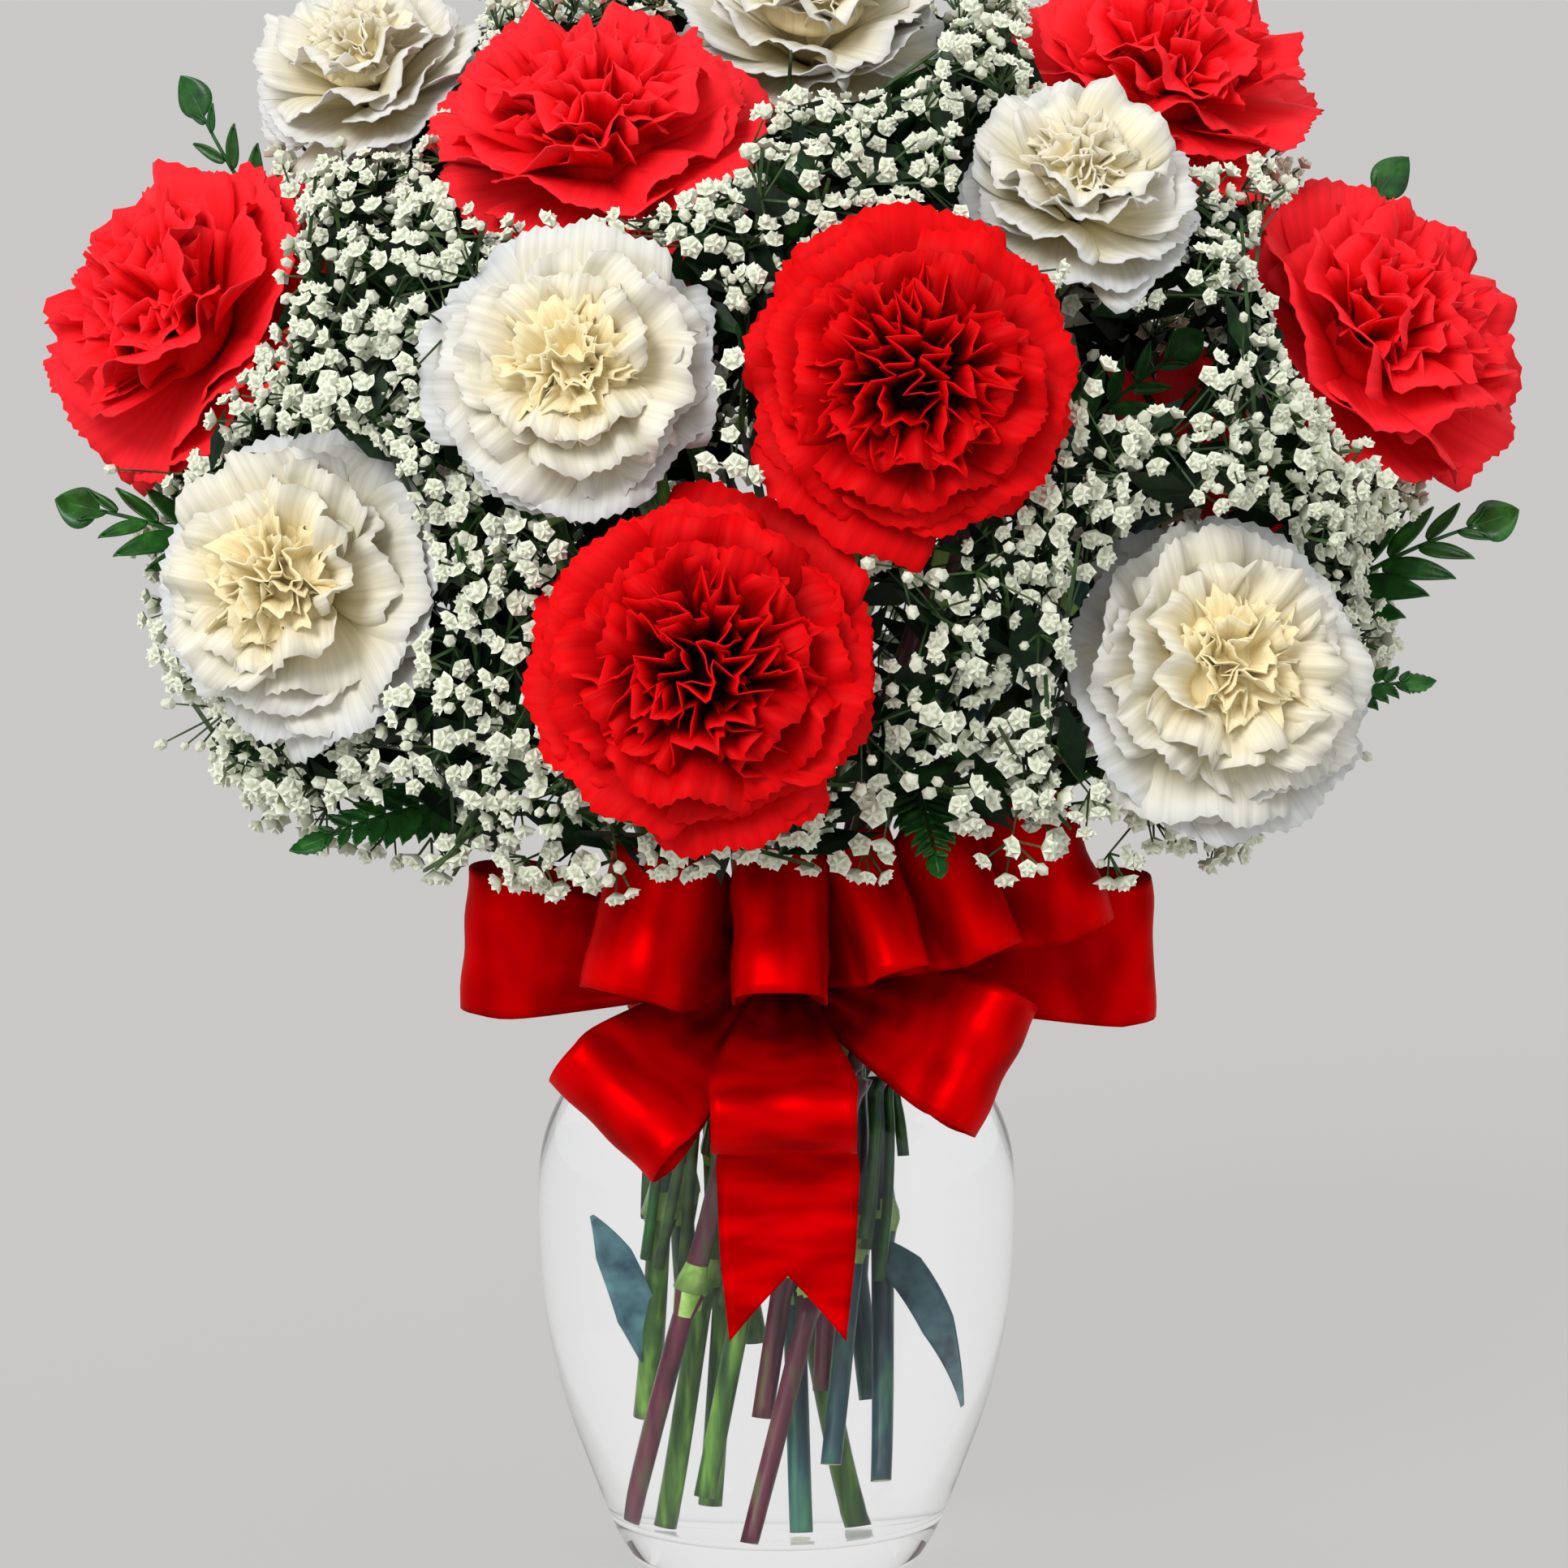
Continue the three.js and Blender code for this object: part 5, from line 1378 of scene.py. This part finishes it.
def build_spray(index, name):
    random = np.random.default_rng(300 + index)
    stalk, all_twigs = sprays[name]
    mine = owner == index
    hub, out, root = hubs[mine], outward[mine], roots[mine]
    stray = (random.uniform(size=len(hub)) < STRAY) & (hub[:, 2] > STRAYS_ABOVE)
    foot, place, way, bud = spread_florets(hub, out, stray, random)
    starts, ends = np.concatenate([root, foot]), np.concatenate([hub, place - 0.45 * FLORET_RADIUS * way])
    rough_starts, rough_tips = kept_twigs[name][:, 0], kept_twigs[name][:, 1]
    rough_ends = rough_tips - 3 * MM * unit(rough_tips - rough_starts)
    parts = [
        (rods(starts, ends, TWIG_RADIUS), twig_faces, 0, {}),
        (rods(rough_starts, rough_ends, ROUGH_TWIG_RADIUS), twig_faces, 0, {}),
        (floret_copies(place[~bud], way[~bud], random), floret_faces, 1, {"along": floret_tint_and_shade}),
        (bud_copies(place[bud], way[bud], random), bud_faces, 1, {"along": 0.5}),
        (leaf_copies(root, hub, out, random), leaf_faces, 2, {}),
    ]
    to_twigs = unit(all_twigs[:, 0].mean(axis=0) - stalk[-1])
    line = smooth_line([*stalk, stalk[-1] + to_twigs * LEADER], 6 * MM)
    last = len(line) - 1
    radii = np.interp(np.arange(len(line)), [0, last - 6, last], [1.3, 1.3, 0.4]) * MM
    stem = thin_stem("stalk_" + name, line, radii, twig_green)
    piece = assemble("gypsophila_" + name[-2:], parts, [twig_green, floret_white, shaded_leaf])
    piece.data.polygons.foreach_set("use_smooth", [False] * len(piece.data.polygons))
    stem.parent = piece
    dress(stem, "babys_breath", name)
    return dress(piece, "babys_breath", name)


gypsophila = [build_spray(i, name) for i, name in enumerate(sprays)]
counts = [triangles(g) for g in gypsophila]
print("gypsophila:", sum(counts), "triangles, most", max(counts))

# %% [markdown]
# ## Fern fronds
# A leatherleaf frond has a thin rib with pairs of leaflets that shrink towards its tip, and each leaflet
# is cut into teeth. Fronds at the sides carry a few broad pointed leaflets instead. An alpha-masked plane
# is the quick way, but it has no edge to catch the light, so a leaflet is a small grid that follows its
# outline, laid on the same arched plane as the rough frond.

# %% Fern fronds
LEAFLET_THICKNESS = 0.5 * MM
LEAFLET_ROWS = 12
LEAFLET_KINDS = {  # lengths as shares of the frond's half width there, and the last leaflet's of its width
    True: {"pairs": 5, "lean": 1.35, "half": 0.26, "tooth": 0.0, "last": 0.2},
    False: {"pairs": 11, "lean": 0.75, "half": 0.30, "tooth": 0.16, "last": 0.12},
}
ARCH = 0.09  # how high a frond arches, as a share of its length
leaflet_uv, leaflet_faces = grid_template(4, LEAFLET_ROWS)


def blade_of(frond):
    """The arched plane of a frond."""
    start, tip = np.array(frond["base"]) * MM, np.array(frond["tip"]) * MM
    along = unit(tip - start)
    side = unit(np.cross(frond["up"], along))
    sizes = {"length": np.linalg.norm(tip - start), "width": frond["width"] * MM}
    return {"start": start, "along": along, "side": side, "up": np.cross(along, side), **sizes}


def blade_point(blade, s, w):
    """A point of the arched plane: s along the rib from 0 to 1, w out from it in metres."""
    arch = ARCH * blade["length"] * np.sin(np.pi * np.clip(s, 0, 1)) - 0.5 * w**2 / blade["width"]
    flat = blade["start"] + s[..., None] * blade["length"] * blade["along"] + w[..., None] * blade["side"]
    return flat + arch[..., None] * blade["up"]


def leaflets(blade, kind, random):
    """Pairs of leaflets that shrink towards the tip, and a last one at the rib's end."""
    across, up_leaf = leaflet_uv[:, 0], leaflet_uv[:, 1]
    teeth = kind["tooth"] * (np.round(up_leaf * LEAFLET_ROWS) % 2)
    shape = np.sin(np.pi * np.clip(up_leaf, 0, 1) ** 0.75) ** 0.8 * (1 - teeth)
    places = []
    for k in range(kind["pairs"]):
        for way in (-1, 1):
            s = (k + 0.4 + 0.25 * (way > 0)) / kind["pairs"] * 0.9
            reach = blade["width"] / 2 * (1 - s) ** 0.7 * random.uniform(0.95, 1.12)
            half = kind["half"] * reach * across * shape
            out = reach * (0.04 + 0.96 * up_leaf)
            t = s + (kind["lean"] * reach * up_leaf - half) / blade["length"]
            curl = 0.9 * MM * np.abs(across) + random.uniform(-1, 1) * MM * up_leaf
            places.append(blade_point(blade, t, way * (out + 0.55 * half)) + curl[:, None] * blade["up"])
    places.append(blade_point(blade, 0.86 + 0.2 * up_leaf, across * shape * kind["last"] * blade["width"]))
    return np.array(places)


def build_frond(index, frond):
    name = f"fern_{index + 1:02d}"
    blade = blade_of(frond)
    places = leaflets(blade, LEAFLET_KINDS[frond["broad"]], np.random.default_rng(700 + index))
    numbers = {"along": leaflet_uv[:, 1], "across": leaflet_uv[:, 0]}
    leafy_part = (places, leaflet_faces, 0, numbers)
    piece = assemble("frond_" + name[-2:], [leafy_part], [fern_green], LEAFLET_THICKNESS)
    rough = read_solid(name)
    rib = blade_point(blade, np.linspace(0.05, 1.0, 7), np.zeros(7))
    line = smooth_line([*stalk_line(rough), *rib], 6 * MM)
    rough.free()
    radii = np.interp(np.arange(len(line)), [0, len(line) * 0.8, len(line) - 1], [1.3, 0.9, 0.4]) * MM
    stem = thin_stem("rib_" + name[-2:], line, radii, fern_green)
    stem.parent = piece
    dress(stem, "fern", name)
    return dress(piece, "fern", name)


fronds = [build_frond(i, frond) for i, frond in enumerate(FRONDS)]
print("fronds:", sum(triangles(frond) for frond in fronds), "triangles")

# %% [markdown]
# ## Satin bow
# A wide ribbon is laid back and forth into ten loops and pinched in the middle, and one end hangs as a
# tail with a swallowtail cut. Cloth simulation would need the ribbon's whole folded path, and it would
# not keep the loops where they are. Each loop is therefore a fine strip of its own that follows the rough
# loop's path, gathered into pleats where the knot pinches it and round where it turns back.

# %% Loops of the bow
RIBBON_WIDTH = 37
RIBBON_THICKNESS = 0.5 * MM
KNOT_SIZE = np.array([13, 9, 15])
KNOT_SUNK = 0.6  # a loop starts inside the knot, at this share of its half size
STRIP_STEP = 1.5
WIDTH_SCALE = 20  # a share of the width counts as this many mm where a line is rounded with it
PLEAT_DEPTH, RIDGE_DEPTH, WAVE_DEPTH = 2.1, 0.22, 0.4
strip_uv, strip_faces = grid_template(14, 56)


def along_line(line, share):
    """Points at shares of a line's length."""
    steps = np.linalg.norm(np.diff(line[:, :3], axis=0), axis=1)
    length = np.concatenate([[0], np.cumsum(steps)])
    columns = [np.interp(share * length[-1], length, line[:, i]) for i in range(line.shape[1])]
    return np.stack(columns, axis=1), length[-1]


def loop_path(reach, sunk, h):
    """Out along one side, round the end and back: distance, distance off the middle, share of the width."""
    out = [
        (sunk, 1.4, 0.3),
        (0.42 * reach, 0.52 * h, 0.66),
        (reach - 1.3 * h, 0.9 * h, 1.0),
        (reach - 0.5 * h, 0.9 * h, 1.0),
        (reach - 0.08 * h, 0.42 * h, 1.0),
    ]
    return out + [(a, -c, w) for a, c, w in out[::-1]]


def loop_strip(end, width, bulge, seed):
    """A loop's points, its length, and how much painted shade it takes at each point, most near the knot."""
    random = np.random.default_rng(seed)
    across, share = strip_uv[:, 0], strip_uv[:, 1]
    way = np.array(end) - KNOT
    reach = np.linalg.norm(way)
    way = way / reach
    upright = unit(np.array(width) - (np.array(width) @ way) * way)
    over = np.cross(way, upright)
    stations = loop_path(reach, KNOT_SUNK / np.linalg.norm(way / KNOT_SIZE), bulge / 2)
    path = smooth_line([(a, c, 0) for a, c, _ in stations], STRIP_STEP)
    line, length = along_line(path, share)
    widths = smooth_line([(a, c, WIDTH_SCALE * w) for a, c, w in stations], STRIP_STEP)
    flat_path = np.column_stack([widths[:, :2], np.zeros(len(widths)), widths[:, 2] / WIDTH_SCALE])
    half_width = along_line(flat_path, share)[0][:, 3] * RIBBON_WIDTH / 2
    heading = np.gradient(path[:, :2], axis=0)
    normals = unit(np.stack([-heading[:, 1], heading[:, 0]], axis=1))
    normal = unit(along_line(np.column_stack([path, normals]), share)[0][:, 3:])
    # Pleats where the knot pinches it, low ridges farther out, and a slow wave all along
    near_knot = np.clip(1 - line[:, 0] / (0.75 * reach), 0, 1)
    phase = random.uniform(0, 6.3, 3)
    pleats = PLEAT_DEPTH * near_knot * np.cos(3.2 * np.pi * across + phase[0])
    ridges = RIDGE_DEPTH * (1 - near_knot) * np.cos(2.2 * np.pi * across + phase[1])
    wave = WAVE_DEPTH * np.sin(1.7 * np.pi * across + phase[2]) * np.sin(2 * np.pi * share + phase[2])
    a, c = (line[:, :2] + normal * (pleats + ridges + wave)[:, None]).T
    place = KNOT + a[:, None] * way + c[:, None] * over + (across * half_width)[:, None] * upright
    # Painted shade, darker towards the knot
    knot_shade = np.clip(1.1 - line[:, 0] / (0.85 * reach), 0, 1)
    return place * MM, length, knot_shade


made_loops = [loop_strip(*loop, 40 + i) for i, loop in enumerate(LOOPS)]
loops, lengths, knot_shades = zip(*made_loops)
print("ribbon in each loop, mm:", [round(length) for length in lengths])

# %% [markdown]
# ## Tail and turn round the neck
# The tail is the ribbon's free end: it hangs from the knot, falls off the loops behind it and ends in a
# notch, so its strip is shortened most in its middle. The turn holds the bow to the vase and hides the
# neck. Both are strips like the loops'.

# %% Tail and turn round the neck
TAIL = [(1, -62, 160, 6), (2, -67, 145, 15), (3, -73, 122, 18.5), (3, -76, 100, 17.5), (3, -78, 77, 15)]
TAIL_NOTCH = 17
NECK_TURN = (40.0, 151.0, 160.0)  # radius, lowest and highest edge


def tail_strip():
    """The tail's points, its length, and how far along it each point lies. TAIL ends in half widths."""
    across, share = strip_uv[:, 0], strip_uv[:, 1]
    line = smooth_line([station[:3] for station in TAIL], STRIP_STEP)
    heights, halves = zip(*[station[2:] for station in TAIL[::-1]])
    half_width = np.interp(line[:, 2], heights, halves)
    length = np.linalg.norm(np.diff(line, axis=0), axis=1).sum()
    cut = share * (1 - TAIL_NOTCH / length * (1 - np.abs(across)))
    at, _ = along_line(np.column_stack([line, half_width]), cut)
    fold = 1.1 * np.cos(2.5 * np.pi * across) * np.clip(1 - share * 1.6, 0, 1)
    fold = fold + 1.2 * np.sin(2 * np.pi * share) * across
    place = at[:, :3] + np.stack([across * at[:, 3], -fold, 0 * fold], axis=1)
    return place * MM, length, cut


def neck_turn():
    """The ribbon drawn once round the vase's neck, gathered to a quarter of its width."""
    across, share = strip_uv[:, 0], strip_uv[:, 1]
    radius, low, high = NECK_TURN
    turn = 2 * np.pi * share - np.pi / 2
    pleats = 0.5 * np.cos(3.5 * np.pi * across + 0.8 * np.sin(3 * turn))
    r = radius + pleats + 0.5 * (1 - across**2)
    z = (low + high) / 2 + across * (high - low) / 2
    return np.stack([r * np.cos(turn), r * np.sin(turn), z], axis=1) * MM


tail, tail_length, tail_cut = tail_strip()

# %% [markdown]
# ## Knot, and the bow as one sheet
# The knot is the ribbon wound round its own middle: a small ball with pleats that run over it. All strips
# and the knot become one mesh.

# %% Knot and bow
KNOT_PLEATS = 9


def knot_shape(bm):
    bmesh.ops.create_uvsphere(bm, u_segments=36, v_segments=18, radius=1)
    for vert in bm.verts:
        turn = math.atan2(vert.co.y, vert.co.x)
        vert.co *= 0.97 + 0.04 * math.cos(KNOT_PLEATS * turn) * (1 - vert.co.z**2)


knot_points, knot_faces = template(knot_shape)
knot = knot_points * KNOT_SIZE * MM + KNOT * MM
knot_turn = np.arctan2(knot_points[:, 1], knot_points[:, 0]) / np.pi
# Painted shade: half of it on the knot and on the turn round the neck, and on the tail darker towards the
# knot
knot_numbers = {"along": (knot_points[:, 2] + 1) / 2 * 0.2, "across": knot_turn, "heart": 0.5}
along_strip = strip_uv[:, 1]
tail_knot_shade, turn_knot_shade = 0.6 * np.clip(1 - 3 * along_strip, 0, 1), np.full(len(along_strip), 0.5)
strip_numbers = {
    "along": np.array([*[along_strip] * len(loops), tail_cut, along_strip]),
    "across": strip_uv[:, 0],
    "heart": np.array([*knot_shades, tail_knot_shade, turn_knot_shade]),
}
parts = [
    (np.array([*loops, tail, neck_turn()]), strip_faces, 0, strip_numbers),
    (knot[None], knot_faces, 0, knot_numbers),
]
bow = assemble("satin_bow", parts, [red_satin], RIBBON_THICKNESS)
dress(bow, "ribbon", "ribbon_bow")

# %% [markdown]
# ## Floor and light
# The photo stands on one even pale grey, so the floor is a plain plane that runs on past the horizon. A
# white sky gives the soft light of a studio, and a large lamp from the front left adds the form. Clear
# glass shows only what is around it, and in the photo its inside is paler than the floor. A ring of white
# card stands round the vase for that. Only light that comes through glass sees the card.

# %% Floor and white card for the glass
FLOOR_HALF = 800  # metres, so that its far edge lies at the horizon
FLOOR_MATTE, FLOOR_GLOW = 0.14, 0.835
CARD_RADIUS = 0.22
CARD_HEIGHT = 0.55
CARD_LIFT = 0.0003  # off the floor


def staged_material(name, hex_colour, matte, glow):
    """A matte finish that also gives off a part of its own colour, so that shadows on it stay faint."""
    material, tree = new_material(name)
    colour = linear(hex_colour)
    base = [c * matte for c in colour[:3]] + [1.0]
    shader = add_node(
        tree,
        "ShaderNodeBsdfPrincipled",
        {
            "Base Color": base,
            "Roughness": 1.0,
            "Specular IOR Level": 0.0,
            "Emission Color": colour,
            "Emission Strength": glow,
        },
    )
    add_node(tree, "ShaderNodeOutputMaterial", {"Surface": shader.outputs["BSDF"]})
    return material


def build_floor():
    bm = bmesh.new()
    bmesh.ops.create_grid(bm, x_segments=1, y_segments=1, size=FLOOR_HALF)
    floor = finish_mesh("floor", bm, [staged_material("plain_floor", "#C9C8C6", FLOOR_MATTE, FLOOR_GLOW)])


def card_material():
    """White card that darkens softly at the vase's two flanks, which draws the outline of clear glass."""
    material, tree = new_material("white_card")
    place = add_node(tree, "ShaderNodeTexCoord")
    split = add_node(tree, "ShaderNodeSeparateXYZ", {"Vector": place.outputs["Object"]})
    off = add_node(tree, "ShaderNodeMath", {0: split.outputs["Y"], 1: CARD_RADIUS}, operation="DIVIDE")
    share = add_node(tree, "ShaderNodeMath", {0: off.outputs[0]}, operation="ABSOLUTE")
    stops = [(0.0, "#848B93"), (0.14, "#A2A8AE"), (0.42, "#B2B6BA"), (0.62, "#E6E6E6")]
    colour = add_node(tree, "ShaderNodeValToRGB", {"Fac": share.outputs[0]}, stops)
    shader = add_node(
        tree,
        "ShaderNodeBsdfPrincipled",
        {
            "Base Color": (0, 0, 0, 1),
            "Roughness": 1.0,
            "Specular IOR Level": 0.0,
            "Emission Color": colour.outputs["Color"],
            "Emission Strength": 1.0,
        },
    )
    add_node(tree, "ShaderNodeOutputMaterial", {"Surface": shader.outputs["BSDF"]})
    return material


def build_card():
    bm = bmesh.new()
    bmesh.ops.create_cone(
        bm, cap_ends=False, segments=48, radius1=CARD_RADIUS, radius2=CARD_RADIUS, depth=CARD_HEIGHT
    )
    bmesh.ops.translate(bm, verts=bm.verts, vec=(0, 0, CARD_HEIGHT / 2 + CARD_LIFT + 0.0001))
    made = bmesh.ops.create_circle(bm, cap_ends=True, segments=48, radius=CARD_RADIUS)
    bmesh.ops.translate(bm, verts=made["verts"], vec=(0, 0, CARD_LIFT))
    for face in bm.faces:
        face.material_index = int(len(face.verts) > 4)
    finishes = [card_material(), staged_material("white_floor_card", "#E6E6E6", 0, 1)]
    card = finish_mesh("card_for_glass", bm, finishes)
    for kind in ("camera", "diffuse", "glossy", "shadow", "volume_scatter"):
        setattr(card, "visible_" + kind, False)


build_floor()
build_card()

# %% [markdown]
# ## Lamp and sky
# The photo's shadows are soft and faint, as under a large studio lamp with light from all round. A sun
# lamp 25 degrees wide has such soft edges and lights the far side of the bouquet as evenly as the near
# one. The sky's even white fills the shadows. The plain Standard view keeps the petals' colours as they
# are, where a filmic one would grey the whites.

# %% Lights and sky
KEY_WAY = (0.4, 0.85, -0.6)
KEY_STRENGTH = 1.9
KEY_WIDTH = 25  # degrees
SKY_STRENGTH = 0.9


def add_lamp(name, direction, strength, softness):
    light = bpy.data.lights.new(name, "SUN")
    light.energy = strength
    light.angle = math.radians(softness)
    lamp = bpy.data.objects.new(name, light)
    lamp.rotation_euler = Vector(direction).to_track_quat("-Z", "Y").to_euler()
    bpy.context.scene.collection.objects.link(lamp)


add_lamp("key_light", KEY_WAY, KEY_STRENGTH, KEY_WIDTH)
world = bpy.data.worlds.new("studio")
bpy.context.scene.world = world
world.use_nodes = True
sky = world.node_tree.nodes["Background"]
sky.inputs["Color"].default_value = (1, 1, 1, 1)
sky.inputs["Strength"].default_value = SKY_STRENGTH
bpy.context.scene.view_settings.view_transform = "Standard"
print("sky strength", SKY_STRENGTH, "lamp", KEY_STRENGTH)
